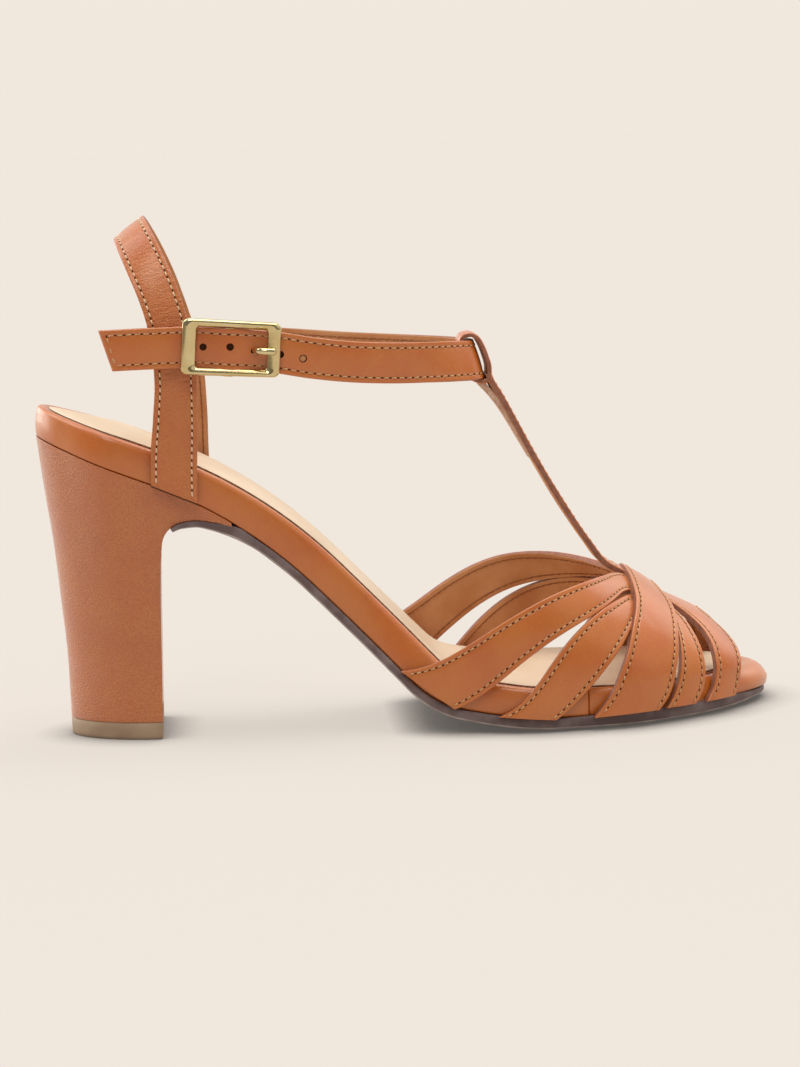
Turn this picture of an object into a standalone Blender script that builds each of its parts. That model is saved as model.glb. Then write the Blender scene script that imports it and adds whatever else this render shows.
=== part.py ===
"""Heeled sandal: right shoe with a covered block heel, a fan of vamp straps and a buckled ankle strap."""

import bmesh
import bpy
import numpy as np

# All sizes below are in millimetres: x from the heel to the toe, y from the outer to the inner side, z up.
ORIGIN = (111.75, 0.3, 0.0)
SEAM_GAP = 0.3

# Midsole underside along the middle, from the heel's back. Columns: length, slope at its end in degrees.
SOLE_BACK = 2.0
SEAT_SLOPE = 22.5
SOLE_STRETCHES = (
    (36.0, 22.5),
    (28.0, 34.0),
    (30.0, 46.5),
    (40.4, 47.5),
    (16.5, 14.0),
    (28.0, 0.0),
    (22.0, 0.0),
    (47.0, -0.8),
)
OUTSOLE_THICK = 3.1
# Thickness along the shoe. Columns: x, midsole, outsole.
SOLE_LAYERS = (
    (0.0, 9.0, 2.5),
    (62.0, 9.0, 2.5),
    (80.0, 9.0, 2.3),
    (108.0, 9.0, 2.3),
    (124.0, 8.7, 2.8),
    (148.0, 8.0, 3.1),
    (185.0, 7.1, 3.1),
    (205.0, 7.1, 3.0),
    (222.0, 7.0, 2.6),
)
OUTSOLE_PROUD = 0.8
SOCK_THICK = 1.0
SOCK_INSET = 2.0
SOCK_TOE = 4.5
TREAD_CAMBER = 0.7
CAMBER_START = 0.55

# Plan outline. Columns: distance from the heel's back, outer edge, inner edge.
PLAN_LENGTH = 219.5
PLAN = (
    (0.0, 0.0, 0.0),
    (7.0, -15.5, 15.5),
    (23.0, -26.0, 26.0),
    (56.0, -24.5, 23.0),
    (90.0, -25.5, 20.0),
    (123.0, -34.5, 30.5),
    (148.0, -39.0, 37.5),
    (168.0, -37.5, 39.0),
    (188.0, -30.0, 36.0),
    (206.0, -17.5, 26.6),
    (214.0, -9.8, 18.6),
    (219.5, 4.4, 4.4),
)

# Heel block. Flare columns: share of the height, share of the way from the foot's outline to the seat's.
HEEL_FOOT_BACK = 8.8
HEEL_FOOT_HALF = 19.0
HEEL_FOOT_ROUND = 27.0
HEEL_FOOT_POWER = 1.75
HEEL_LIP = 59.0
TOP_PIECE_HIGH = 5.1
HEEL_FLARE = ((0.0, 0.0), (0.2, 0.03), (0.42, 0.22), (0.62, 0.43), (0.82, 0.75), (1.0, 1.0))
# Breast and its arch seen from the side. Columns: x, z.
BREAST = (
    (35.9, 0.0),
    (36.6, 20.0),
    (38.3, 56.5),
    (39.1, 60.3),
    (41.2, 63.3),
    (44.6, 65.4),
    (49.5, 66.3),
    (54.0, 65.6),
    (60.5, 63.0),
)
OUTSOLE_TAIL = 42.0
OUTSOLE_TAIL_THICK = 1.4

# Straps over the foot. Ridge columns: x, z of the outer face along the top of the foot.
STRAP_THICK = 1.9
WALL_SHARE = 0.2
RIDGE = (
    (95.0, 175.0),
    (137.0, 102.9),
    (141.2, 97.7),
    (149.7, 80.7),
    (158.3, 65.2),
    (167.0, 51.4),
    (172.0, 45.6),
    (177.2, 42.3),
    (183.0, 38.4),
    (189.0, 34.4),
    (195.0, 31.2),
    (201.0, 28.2),
    (207.0, 24.0),
    (213.0, 18.6),
    (219.0, 14.0),
)
# Edges of the five fan straps, rear one first, as x at steps t from the ridge (0) to the feather edge (1).
FAN_STEPS = (0.0, 0.1, 0.2, 0.3, 0.4, 0.5, 0.6, 0.66, 0.72, 0.8, 0.9, 1.0)
FAN_OUTER = (
    (175.0, 175.0, 173.4, 168.5, 163.4, 157.4, 149.0, 141.6, 130.8, 116.6, 111.0, 106.6),
    (177.0, 177.0, 177.0, 176.3, 170.8, 165.7, 158.9, 153.6, 146.3, 133.8, 126.9, 121.8),
    (177.0, 177.0, 177.0, 176.3, 171.6, 167.4, 162.1, 158.3, 152.8, 145.4, 139.6, 134.4),
    (178.3, 178.6, 178.9, 178.9, 178.1, 175.8, 172.2, 169.6, 166.5, 160.7, 156.2, 151.2),
    (178.3, 178.6, 178.9, 178.9, 178.1, 176.5, 174.6, 173.3, 171.7, 169.3, 166.5, 163.0),
    (187.5, 188.0, 189.4, 190.1, 189.9, 189.4, 188.8, 188.2, 187.5, 186.5, 184.8, 181.8),
    (187.5, 188.0, 189.4, 190.1, 190.3, 190.5, 190.4, 190.1, 189.7, 189.0, 187.4, 184.8),
    (187.5, 188.0, 189.4, 193.2, 195.4, 196.8, 197.6, 197.8, 197.8, 197.6, 196.8, 194.4),
    (187.5, 188.0, 193.9, 197.6, 199.8, 201.0, 201.5, 201.6, 201.7, 201.4, 200.4, 198.0),
    (201.8, 202.8, 206.3, 208.5, 209.8, 210.4, 210.5, 210.4, 210.3, 210.0, 209.5, 207.8),
)
FAN_INNER = (
    (175.0, 175.0, 174.0, 168.2, 162.8, 155.6, 144.4, 132.4, 121.8, 111.0, 105.8, 101.2),
    (177.0, 177.0, 177.0, 176.4, 170.4, 163.4, 154.2, 147.0, 136.8, 121.0, 116.8, 113.2),
    (177.0, 177.0, 177.0, 176.4, 170.4, 163.8, 155.6, 149.2, 139.6, 128.2, 124.4, 120.8),
    (178.3, 178.6, 178.9, 178.9, 177.6, 174.0, 168.0, 164.0, 158.6, 150.4, 145.6, 141.0),
    (178.3, 178.6, 178.9, 178.9, 178.1, 176.6, 174.2, 172.4, 170.4, 167.4, 164.0, 160.0),
    (187.5, 188.0, 189.4, 190.1, 189.9, 189.4, 188.8, 188.2, 187.5, 186.5, 184.8, 181.8),
    (187.5, 188.0, 189.4, 190.1, 190.8, 191.2, 191.4, 191.3, 191.1, 190.6, 189.2, 186.8),
    (187.5, 188.0, 189.4, 193.4, 196.2, 198.2, 199.4, 199.8, 200.0, 199.8, 199.0, 196.8),
    (187.5, 188.0, 193.9, 197.8, 200.4, 202.2, 203.4, 203.8, 203.9, 203.7, 203.0, 200.8),
    (201.8, 202.8, 206.3, 208.8, 210.6, 211.7, 212.3, 212.6, 212.6, 212.5, 212.1, 210.8),
)
FAN_CLOSE = 0.6
SADDLE_LIFT = 1.4
SADDLE_OVERHANG = 0.6

# Instep strap's outer face, then its loop's middle line, seen from the side. Columns: x, z.
INSTEP_WIDE = 12.0
INSTEP_LIFT = 0.3
LOOP_WIDE = 12.5
INSTEP_LINE = (
    (184.0, 37.7),
    (177.2, 42.0),
    (172.0, 45.2),
    (167.6, 51.2),
    (159.0, 65.0),
    (150.5, 80.6),
    (142.0, 97.6),
    (139.9, 101.2),
    (139.0, 103.6),
)
LOOP_LINE = (
    (138.5, 101.8),
    (138.5, 105.7),
    (137.8, 109.4),
    (136.5, 112.8),
    (134.7, 115.2),
    (132.2, 116.0),
    (129.4, 115.4),
    (128.4, 113.2),
    (129.5, 108.9),
    (130.8, 104.5),
    (132.7, 101.0),
    (136.4, 100.3),
)

# Heel strap. Columns: share of the height, rear edge x and z, front edge x and z.
HEEL_STRAP = (
    (0.00, 36.0, 76.6, 49.3, 70.6),
    (0.10, 36.3, 85.0, 49.7, 81.0),
    (0.26, 37.6, 97.0, 50.5, 95.0),
    (0.42, 38.5, 108.0, 50.8, 108.0),
    (0.53, 38.1, 117.0, 50.2, 118.0),
    (0.63, 37.0, 124.0, 48.8, 126.0),
    (0.73, 34.9, 131.5, 46.6, 134.0),
    (0.82, 32.4, 138.0, 43.7, 141.8),
    (0.90, 30.2, 143.4, 40.7, 148.2),
    (0.96, 28.7, 146.9, 38.5, 152.3),
    (1.00, 28.0, 148.4, 37.2, 154.4),
)
HEEL_STRAP_OUTER = 27.9
HEEL_STRAP_INNER = 27.5
HEEL_STRAP_STRAIGHT = 0.42
HEEL_STRAP_POWER = 2.4
HEEL_STRAP_SKEW = 4.2

# Ankle strap from its tip to its sewn end. Columns: x, y, z of its middle line.
ANKLE_WIDE = 12.0
ANKLE_TIP_SLANT = 3.5
ANKLE_LEAN = 15.0
ANKLE_LINE = (
    (24.8, -30.55, 117.1),
    (36.0, -30.55, 117.2),
    (47.0, -30.55, 117.2),
    (60.5, -30.55, 116.1),
    (73.0, -30.55, 114.7),
    (85.0, -29.6, 112.3),
    (97.0, -27.6, 110.5),
    (108.0, -24.4, 109.5),
    (119.0, -18.4, 108.8),
    (128.0, -11.2, 108.4),
    (133.1, -5.6, 108.4),
    (134.4, 0.0, 108.4),
    (133.1, 5.6, 108.4),
    (128.0, 11.2, 108.4),
    (119.0, 18.2, 108.6),
    (108.0, 23.8, 109.2),
    (97.0, 27.0, 110.0),
    (85.0, 28.6, 111.2),
    (70.0, 29.1, 112.8),
    (52.0, 28.8, 115.0),
    (39.0, 28.8, 116.4),
)
HOLES_X = (53.1, 60.9, 75.4)
HOLE_WIDE = 2.2
PRONG_HOLE_X = 67.5
PRONG_HOLE_LONG = 4.6
PRONG_HOLE_WIDE = 3.2

# Buckle
BUCKLE_AT = (60.6, -32.9, 116.15)
BUCKLE_TILT = 5.0
BUCKLE_LONG = 28.0
BUCKLE_HIGH = 16.8
BUCKLE_THICK = 2.0
BUCKLE_END_BAR = 3.7
BUCKLE_SHIFT = 0.4
BUCKLE_RAIL = 1.9
BAR_WIDE = 1.8
BAR_DEEP = 4.7
STRAP_BULGE = 1.9
PRONG_WIDE = 1.7
# Prong, in the buckle's own frame. Columns: along the strap, out from the bar's depth.
PRONG_LINE = ((1.9, 4.7), (4.0, 4.4), (6.0, 2.7), (7.3, 0.2), (8.8, -1.6), (10.9, -2.2), (13.6, -2.2))
TAB_THICK = 1.0
TAB_HIGH = 9.0
TAB_BACK = 39.0
TAB_SLOT = 2.6

MATERIALS = (
    ("camel_leather", (0.45, 0.16, 0.055), 0.0, 0.5),
    ("sock_leather", (0.85, 0.68, 0.52), 0.0, 0.6),
    ("sole_rubber", (0.12, 0.085, 0.08), 0.0, 0.6),
    ("tip_rubber", (0.25, 0.19, 0.12), 0.0, 0.55),
    ("pale_brass", (0.85, 0.68, 0.38), 1.0, 0.25),
)


def smooth(at, table, column):
    """Cubic through one column of a table against its first column, with slopes that never overshoot."""
    xs = np.array([row[0] for row in table], float)
    ys = np.array([row[column] for row in table], float)
    step = np.diff(xs)
    rise = np.diff(ys) / step
    slope = np.concatenate([rise[:1], np.zeros(len(xs) - 2), rise[-1:]])
    same = rise[:-1] * rise[1:] > 0
    before = 2 * step[1:] + step[:-1]
    after = step[1:] + 2 * step[:-1]
    mixed = np.where(same, before * rise[1:] + after * rise[:-1], 1.0)
    slope[1:-1] = np.where(same, (before + after) * rise[:-1] * rise[1:] / mixed, 0.0)
    at = np.clip(np.asarray(at, float), xs[0], xs[-1])
    k = np.clip(np.searchsorted(xs, at, side="right") - 1, 0, len(step) - 1)
    t = (at - xs[k]) / step[k]
    start = ys[k] * (1 + 2 * t) * (1 - t) ** 2 + step[k] * slope[k] * t * (1 - t) ** 2
    return start + ys[k + 1] * t * t * (3 - 2 * t) + step[k] * slope[k + 1] * t * t * (t - 1)


def along(points, count):
    """Even steps along a smooth curve through the points."""
    points = np.array(points, float)
    length = np.concatenate([[0.0], np.cumsum(np.linalg.norm(np.diff(points, axis=0), axis=1))])
    table = [(s, *p) for s, p in zip(length, points)]
    at = np.linspace(0.0, length[-1], count)
    return np.stack([smooth(at, table, k + 1) for k in range(points.shape[1])], axis=1)


def sole_profile():
    """x, z and slope along the midsole's underside, summed in short steps and set down on the outsole."""
    x = SOLE_BACK
    z = 0.0
    start = SEAT_SLOPE
    rows = [(x, z, start)]
    for length, end in SOLE_STRETCHES:
        for k in range(40):
            angle = np.radians(start + (end - start) * (k + 0.5) / 40)
            x += length / 40 * np.cos(angle)
            z -= length / 40 * np.sin(angle)
            rows.append((x, z, start + (end - start) * (k + 1) / 40))
        start = end
    rows = np.array(rows)
    rows[:, 1] += OUTSOLE_THICK + SEAM_GAP - rows[:, 1].min()
    return rows


PROFILE = sole_profile()


def sole_z(x):
    return np.interp(x, PROFILE[:, 0], PROFILE[:, 1])


def sole_slope(x):
    return np.radians(np.interp(x, PROFILE[:, 0], PROFILE[:, 2]))


def midsole_thick(x):
    return smooth(x, SOLE_LAYERS, 1)


def ease(x, low, high):
    t = np.clip((x - low) / (high - low), 0.0, 1.0)
    return t * t * (3 - 2 * t)


def plan_turn(x):
    """Station as a share of half a turn, which makes the outline's two ends round."""
    return np.arccos(np.clip(1 - 2 * (x - SOLE_BACK) / PLAN_LENGTH, -1.0, 1.0)) / np.pi


PLAN_TURNS = [(plan_turn(row[0] + SOLE_BACK), row[1], row[2]) for row in PLAN]


def plan_edge(x, side, out=0.0):
    """Outline's y at x on one side, moved out at right angles to it."""
    column = 1 if side < 0 else 2
    y = smooth(plan_turn(x), PLAN_TURNS, column)
    if out:
        ahead = smooth(plan_turn(x + 0.5), PLAN_TURNS, column)
        rise = ahead - smooth(plan_turn(x - 0.5), PLAN_TURNS, column)
        y = y + side * out * np.minimum(np.hypot(1.0, rise), 2.5)
    return y


def sole_lift(x, high):
    """Shift of a layer this far above the midsole's underside: upright at the back, square further on."""
    slope = sole_slope(x)
    lean = slope * ease(x, SOLE_BACK, SOLE_BACK + 38.0)
    reach = high / np.cos(slope - lean)
    return reach * np.sin(lean), reach * np.cos(lean)


def sole_ring(x, low, high, out, chamfer):
    """Cross section of one sole layer at x, with its upper corners cut."""
    ends = np.array([plan_edge(x, -1, out), plan_edge(x, 1, out)])
    middle = ends.mean()
    half = max(ends[1] - ends[0], 0.6) / 2
    cut = min(chamfer, half * 0.5)
    across = np.array([-1.0, -0.775, -CAMBER_START, 0.0, CAMBER_START, 0.775, 1.0])
    fore = TREAD_CAMBER * ease(x, 105.0, 140.0)
    rise = fore * np.clip((np.abs(across) - CAMBER_START) / (1 - CAMBER_START), 0.0, 1.0) ** 2
    ring = []
    for height, shrink in ((low, 0.0), (high - cut, 0.0), (high, cut)):
        dx, dz = sole_lift(x, height)
        y = middle + across * (half - shrink)
        layer = np.stack([np.full(7, x + dx), y, sole_z(x) + dz + rise], axis=1)
        ring.append(layer)
    return np.concatenate([ring[0], ring[1][-1:], ring[2][::-1], ring[1][:1]])


def loft(rings):
    """Skin over rings of points, with caps that join each ring's two halves across."""
    count = len(rings[0])
    points = np.concatenate(rings)
    faces = []
    for r in range(len(rings) - 1):
        for k in range(count):
            n = (k + 1) % count
            faces.append((r * count + k, r * count + n, (r + 1) * count + n, (r + 1) * count + k))
    last = (len(rings) - 1) * count
    for k in range(count // 2 - 1):
        faces.append((k + 1, k, count - 1 - k, count - 2 - k))
        faces.append((last + k, last + k + 1, last + count - 2 - k, last + count - 1 - k))
    if count % 2:
        k = count // 2 - 1
        faces.append((k + 1, k, count - 1 - k))
        faces.append((last + k, last + k + 1, last + count - 1 - k))
    return points, faces


def sheet(rows):
    """Grid of quads over rows of points."""
    count = len(rows[0])
    points = np.concatenate(rows)
    faces = []
    for r in range(len(rows) - 1):
        for k in range(count - 1):
            a = r * count + k
            faces.append((a, a + 1, a + count + 1, a + count))
    return points, faces


def band(line, thick, wide, closed):
    """Flat strip along a line in the side view: its outer face on the line, or centred on a closed one."""
    line = np.array(line, float)
    if closed:
        run = np.roll(line, -1, axis=0) - np.roll(line, 1, axis=0)
    else:
        run = np.gradient(line, axis=0)
    run /= np.linalg.norm(run, axis=1)[:, None]
    inward = np.stack([run[:, 1], -run[:, 0]], axis=1)
    near = line - inward * thick / 2 if closed else line
    far = near + inward * thick
    rings = []
    for a, b in zip(near, far):
        corners = [(a, -wide / 2), (a, wide / 2), (b, wide / 2), (b, -wide / 2)]
        rings.append(np.array([(p[0], y, p[1]) for p, y in corners]))
    points, faces = loft(rings)
    if closed:
        count = len(rings)
        faces = faces[: 4 * (count - 1)]
        for k in range(4):
            n = (k + 1) % 4
            faces.append((4 * (count - 1) + k, 4 * (count - 1) + n, n, k))
    return points, faces


def rod(line, wide, sides):
    """Round bar along a line, its ends capped."""
    line = np.array(line, float)
    run = np.gradient(line, axis=0)
    run /= np.linalg.norm(run, axis=1)[:, None]
    up = np.array([0.0, 0.0, 1.0]) if abs(run[:, 2]).max() < 0.9 else np.array([1.0, 0.0, 0.0])
    turn = np.linspace(0.0, 2 * np.pi, sides, endpoint=False)
    rings = []
    for p, d in zip(line, run):
        a = np.cross(d, up)
        a /= np.linalg.norm(a)
        b = np.cross(d, a)
        rings.append(p + wide / 2 * (np.cos(turn)[:, None] * a + np.sin(turn)[:, None] * b))
    return loft(rings)


def add(name, shape, material, collection, wall=False):
    """One object from points in millimetres, welded. A solid's faces are turned out."""
    points, faces = shape
    mesh = bpy.data.meshes.new(name)
    mesh.from_pydata((np.asarray(points) - ORIGIN) / 1000, [], faces)
    work = bmesh.new()
    work.from_mesh(mesh)
    bmesh.ops.remove_doubles(work, verts=work.verts, dist=2e-6)
    bmesh.ops.dissolve_degenerate(work, edges=work.edges, dist=1e-6)
    if not wall:
        bmesh.ops.recalc_face_normals(work, faces=work.faces)
    work.to_mesh(mesh)
    work.free()
    mesh.materials.append(bpy.data.materials[material])
    made = bpy.data.objects.new(name, mesh)
    collection.objects.link(made)
    return made


def thicken(made, thick, offset):
    modifier = made.modifiers.new("wall", "SOLIDIFY")
    modifier.thickness = thick / 1000
    modifier.offset = offset
    modifier.use_even_offset = True


def join(made, other, operation):
    modifier = made.modifiers.new(other.name, "BOOLEAN")
    modifier.operation = operation
    modifier.solver = "EXACT"
    modifier.object = other
    other.hide_render = True
    other.display_type = "WIRE"


def clear_scene():
    for old in list(bpy.data.objects):
        bpy.data.objects.remove(old, do_unlink=True)
    for name, colour, metal, rough in MATERIALS:
        made = bpy.data.materials.new(name)
        made.use_nodes = True
        shader = made.node_tree.nodes["Principled BSDF"]
        shader.inputs["Base Color"].default_value = (*colour, 1.0)
        shader.inputs["Metallic"].default_value = metal
        shader.inputs["Roughness"].default_value = rough
    groups = []
    for name in ("heeled_sandal", "cutters"):
        group = bpy.data.collections.new(name)
        bpy.context.scene.collection.children.link(group)
        groups.append(group)
    return groups


def build_sole(group):
    """Midsole, sock and outsole: cross sections along the shoe, close together at its round ends."""
    turn = np.linspace(0.012, 0.988, 54)
    stations = SOLE_BACK + PLAN_LENGTH * (1 - np.cos(np.pi * turn)) / 2
    rings = [sole_ring(x, 0.0, midsole_thick(x), 0.0, 1.2) for x in stations]
    add("midsole", loft(rings), "camel_leather", group)
    sock = SOLE_BACK + SOCK_INSET + (PLAN_LENGTH - SOCK_INSET - SOCK_TOE) * (1 - np.cos(np.pi * turn)) / 2
    rings = []
    for x in sock:
        low = midsole_thick(x) + SEAM_GAP
        rings.append(sole_ring(x, low, low + SOCK_THICK, -SOCK_INSET - 1.6 * ease(x, 180.0, 210.0), 0.3))
    add("insole_sock", loft(rings), "sock_leather", group)
    front = SOLE_BACK + PLAN_LENGTH + 0.2
    steps = np.concatenate([
        np.linspace(OUTSOLE_TAIL, 64.0, 14)[:-1],
        np.linspace(64.0, 200.0, 34)[:-1],
        front - (front - 200.0) * np.cos(np.linspace(0.0, 0.49, 10) * np.pi),
    ])
    rings = [outsole_ring(x) for x in steps]
    add("outsole", loft(rings), "sole_rubber", group)


def outsole_ring(x):
    """Outsole section at x: under the midsole ahead of the heel's lip, along the breast's arch behind it."""
    out = OUTSOLE_PROUD * ease(x, 60.0, 120.0)
    thick = float(smooth(x, SOLE_LAYERS, 2))
    ring = sole_ring(x, -SEAM_GAP - thick, -SEAM_GAP, out, 0.3)
    if x < 64.0:
        thick = OUTSOLE_TAIL_THICK + (thick - OUTSOLE_TAIL_THICK) * ease(x, OUTSOLE_TAIL, 58.0)
        arch = np.array(BREAST[3:])
        slope = (smooth(x + 0.3, arch, 1) - smooth(x - 0.3, arch, 1)) / 0.6
        square = 1 / np.hypot(1.0, slope)
        top = smooth(x, arch, 1) - 0.35 / square
        blend = ease(x, 57.5, 64.0)
        for k in range(len(ring)):
            high = k > 7 and k < 15
            bent = (x + (top - smooth(x, arch, 1)) * -slope * square * square, top)
            if not high:
                bent = (bent[0] + slope * square * thick, bent[1] - square * thick)
            if k in (7, 15):
                bent = (bent[0] - slope * square * (thick - 0.3), bent[1] + square * (thick - 0.3))
            ring[k, 0] = bent[0] * (1 - blend) + ring[k, 0] * blend
            ring[k, 2] = bent[1] * (1 - blend) + ring[k, 2] * blend
            ring[k, 1] *= 0.985
    return ring


def foot_half(x, inset):
    """Half width of the heel's foot at x: round at the back, with sides that run out to the breast."""
    past = np.clip(1 - (x - HEEL_FOOT_BACK - inset) / HEEL_FOOT_ROUND, 0.0, 0.995)
    return (HEEL_FOOT_HALF - inset) * (1 - past ** HEEL_FOOT_POWER) ** (1 / HEEL_FOOT_POWER)


def heel_outline(count):
    """Matching half outlines from the heel's back to its lip: (x, half) of its foot, x of its seat."""
    share = 1 - np.cos(np.linspace(0.04, 0.5, count) * np.pi)
    seat = SOLE_BACK + (HEEL_LIP - SOLE_BACK) * share
    foot = HEEL_FOOT_BACK + (HEEL_LIP + 1 - HEEL_FOOT_BACK) * share
    return foot, foot_half(foot, 0.0), seat


def build_heel(group, cutters):
    """Covered block lofted from its foot to the seat and cut by the breast, and the top piece under it."""
    foot, half, seat = heel_outline(16)
    bottom = TOP_PIECE_HIGH + SEAM_GAP
    rings = []
    for q in (0.0, 0.12, 0.24, 0.36, 0.48, 0.6, 0.7, 0.8, 0.9, 1.0):
        share = float(smooth(q, HEEL_FLARE, 1))
        sides = []
        for side in (-1, 1):
            x = foot + (seat - foot) * share
            y = side * half + (plan_edge(seat, side) - side * half) * share
            top = sole_z(seat) - SEAM_GAP / np.cos(sole_slope(seat))
            sides.append(np.stack([x, y, bottom + (top - bottom) * q], axis=1))
        rings.append(np.concatenate([sides[0][::-1], sides[1]]))
    heel = add("heel", loft(rings), "camel_leather", group)
    curve = along(BREAST, 40)
    line = np.concatenate([[(BREAST[0][0], -6.0)], curve, [(75.0, 55.0), (75.0, -6.0)]])
    rings = [np.stack([line[:, 0], np.full(len(line), y), line[:, 1]], axis=1) for y in (-45.0, 45.0)]
    points, faces = loft(rings)
    count = len(line)
    faces = faces[:count] + [tuple(range(count))[::-1], tuple(range(count, 2 * count))]
    join(heel, add("breast_cutter", (points, faces), "camel_leather", cutters), "DIFFERENCE")
    rings = []
    for z, inset in ((0.0, 0.5), (0.5, 0.0), (TOP_PIECE_HIGH, 0.0)):
        front = float(smooth(z, [(b, a) for a, b in BREAST[:3]], 1)) - inset
        back = HEEL_FOOT_BACK + inset
        x = back + (front - back) * (foot - foot[0]) / (foot[-1] - foot[0])
        y = foot_half(x, inset)
        rings.append(np.concatenate([
            np.stack([x, -y, np.full(len(x), z)], axis=1)[::-1],
            np.stack([x, y, np.full(len(x), z)], axis=1),
        ]))
    add("heel_top_piece", loft(rings), "tip_rubber", group)


def vamp(x, t, lift=0.0):
    """Outer face of the straps over the foot. In the section at x, t runs from -1 at the outer feather edge
    over 0 on the ridge to 1 at the inner edge: straight up past the midsole, then half an ellipse."""
    x, t = np.broadcast_arrays(np.asarray(x, float), np.asarray(t, float))
    side = np.where(t < 0, -1.0, 1.0)
    out = SEAM_GAP + 0.05 + STRAP_THICK + lift
    edge = np.where(t < 0, plan_edge(x, -1, out), plan_edge(x, 1, out))
    middle = np.interp(x, (177.0, 221.0), (0.0, 5.0))
    foot = sole_z(x) + TREAD_CAMBER * ease(x, 105.0, 140.0)
    top = foot + midsole_thick(x) / np.cos(sole_slope(x))
    crest = smooth(x, RIDGE, 1) + lift
    turn = np.pi / 2 * np.clip(np.abs(t) / (1 - WALL_SHARE), 0.0, 1.0)
    drop = np.clip((np.abs(t) - 1 + WALL_SHARE) / WALL_SHARE, 0.0, 1.0)
    y = middle + side * np.abs(edge - middle) * np.sin(turn)
    z = top + (crest - top) * np.cos(turn) - (top - foot) * drop
    return np.stack([x, y, z], axis=-1)


def fan_edges(t):
    """x of the ten strap edges of the fan at t. Edges closer than FAN_CLOSE meet, which joins the straps."""
    table = FAN_OUTER if t < 0 else FAN_INNER
    edges = [float(smooth(abs(t), list(zip(FAN_STEPS, row)), 1)) for row in table]
    for k in range(8, 4, -1):
        if edges[k] - edges[k - 1] < FAN_CLOSE:
            edges[k] = edges[k - 1]
    for k in range(5, 9):
        if edges[k] - edges[k - 1] < FAN_CLOSE:
            edges[k] = edges[k - 1]
    for k in (2, 4):
        if edges[k] - edges[k - 1] < FAN_CLOSE:
            edges[k - 1] = edges[k]
    return edges


def fan_rows():
    half = np.array([0.0, 0.05, 0.1, 0.15, 0.2, 0.25, 0.3, 0.35, 0.4, 0.45, 0.5, 0.55, 0.6, 0.63,
                     0.66, 0.69, 0.72, 0.75, 0.775, 0.8, 0.85, 0.9, 0.95, 1.0])
    return np.concatenate([-half[:0:-1], half])


def build_upper(group, cutters):
    """Fan of straps as one wall with its gaps left out, then the saddle, instep strap and loop joined on."""
    rows = fan_rows()
    points = []
    faces = []
    columns = 15
    for t in rows:
        edges = fan_edges(t)
        line = []
        for k in range(5):
            line.extend(np.linspace(edges[2 * k], edges[2 * k + 1], 3))
        points.append(vamp(np.array(line), t))
    for r in range(len(rows) - 1):
        for k in range(columns - 1):
            if k % 3 < 2:
                a = r * columns + k
                faces.append((a, a + 1, a + columns + 1, a + columns))
    upper = add("upper", (np.concatenate(points), faces), "camel_leather", group, wall=True)
    thicken(upper, STRAP_THICK, -1.0)
    line = []
    for t in rows:
        edges = fan_edges(t)
        x = np.linspace(edges[4] - SADDLE_OVERHANG, edges[5] + SADDLE_OVERHANG, 4)
        line.append(vamp(x, t, SADDLE_LIFT))
    saddle = add("saddle", sheet(line), "camel_leather", cutters, wall=True)
    thicken(saddle, STRAP_THICK, -1.0)
    path = along(INSTEP_LINE, 26)
    path[:, 1] += INSTEP_LIFT
    instep = add("instep", band(path[::-1], STRAP_THICK, INSTEP_WIDE, False), "camel_leather", cutters)
    loop = add("instep_loop", band(along(LOOP_LINE + LOOP_LINE[:1], 25)[:-1], STRAP_THICK, LOOP_WIDE, True),
               "camel_leather", cutters)
    for other in (saddle, instep, loop):
        join(upper, other, "UNION")


def build_heel_strap(group):
    """Arch of strap: straight legs outside the midsole, a superellipse across, leaning back to its crown."""
    turn = np.linspace(0.0, np.pi / 2, 15)
    high = HEEL_STRAP_STRAIGHT + (1 - HEEL_STRAP_STRAIGHT) * np.sin(turn) ** (2 / HEEL_STRAP_POWER)
    wide = np.cos(turn) ** (2 / HEEL_STRAP_POWER)
    high = np.concatenate([np.linspace(0.0, HEEL_STRAP_STRAIGHT, 9)[:-1], high])
    wide = np.concatenate([np.ones(8), wide])
    rows = []
    for side, half in ((-1, HEEL_STRAP_OUTER), (1, HEEL_STRAP_INNER)):
        part = []
        for h, w in zip(high, wide):
            rear = np.array([smooth(h, HEEL_STRAP, 1), smooth(h, HEEL_STRAP, 2)])
            front = np.array([smooth(h, HEEL_STRAP, 3), smooth(h, HEEL_STRAP, 4)])
            skew = HEEL_STRAP_SKEW * (1 - h) * ease(-h, -0.72, -0.35) if side > 0 else 0.0
            line = []
            for share in np.linspace(0.0, 1.0, 4):
                x, z = rear + (front - rear) * share
                drop = sole_z(x + skew) - sole_z(x) if h == 0 else 0.0
                line.append((x + skew, side * half * w, z + drop))
            part.append(np.array(line))
        rows.append(part)
    shape = sheet(rows[0] + rows[1][-2::-1])
    made = add("heel_strap", shape, "camel_leather", group, wall=True)
    thicken(made, STRAP_THICK, -1.0)


def ankle_points(count):
    """Middle line of the ankle strap, bulged out where it rides over the buckle's centre bar."""
    line = along(ANKLE_LINE, count)
    bulge = np.cos(np.clip((line[:, 0] - BUCKLE_AT[0]) / 20.0, -0.5, 0.5) * np.pi) ** 2
    line[:, 1] -= STRAP_BULGE * bulge * (line[:, 1] < 0)
    return line


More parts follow.
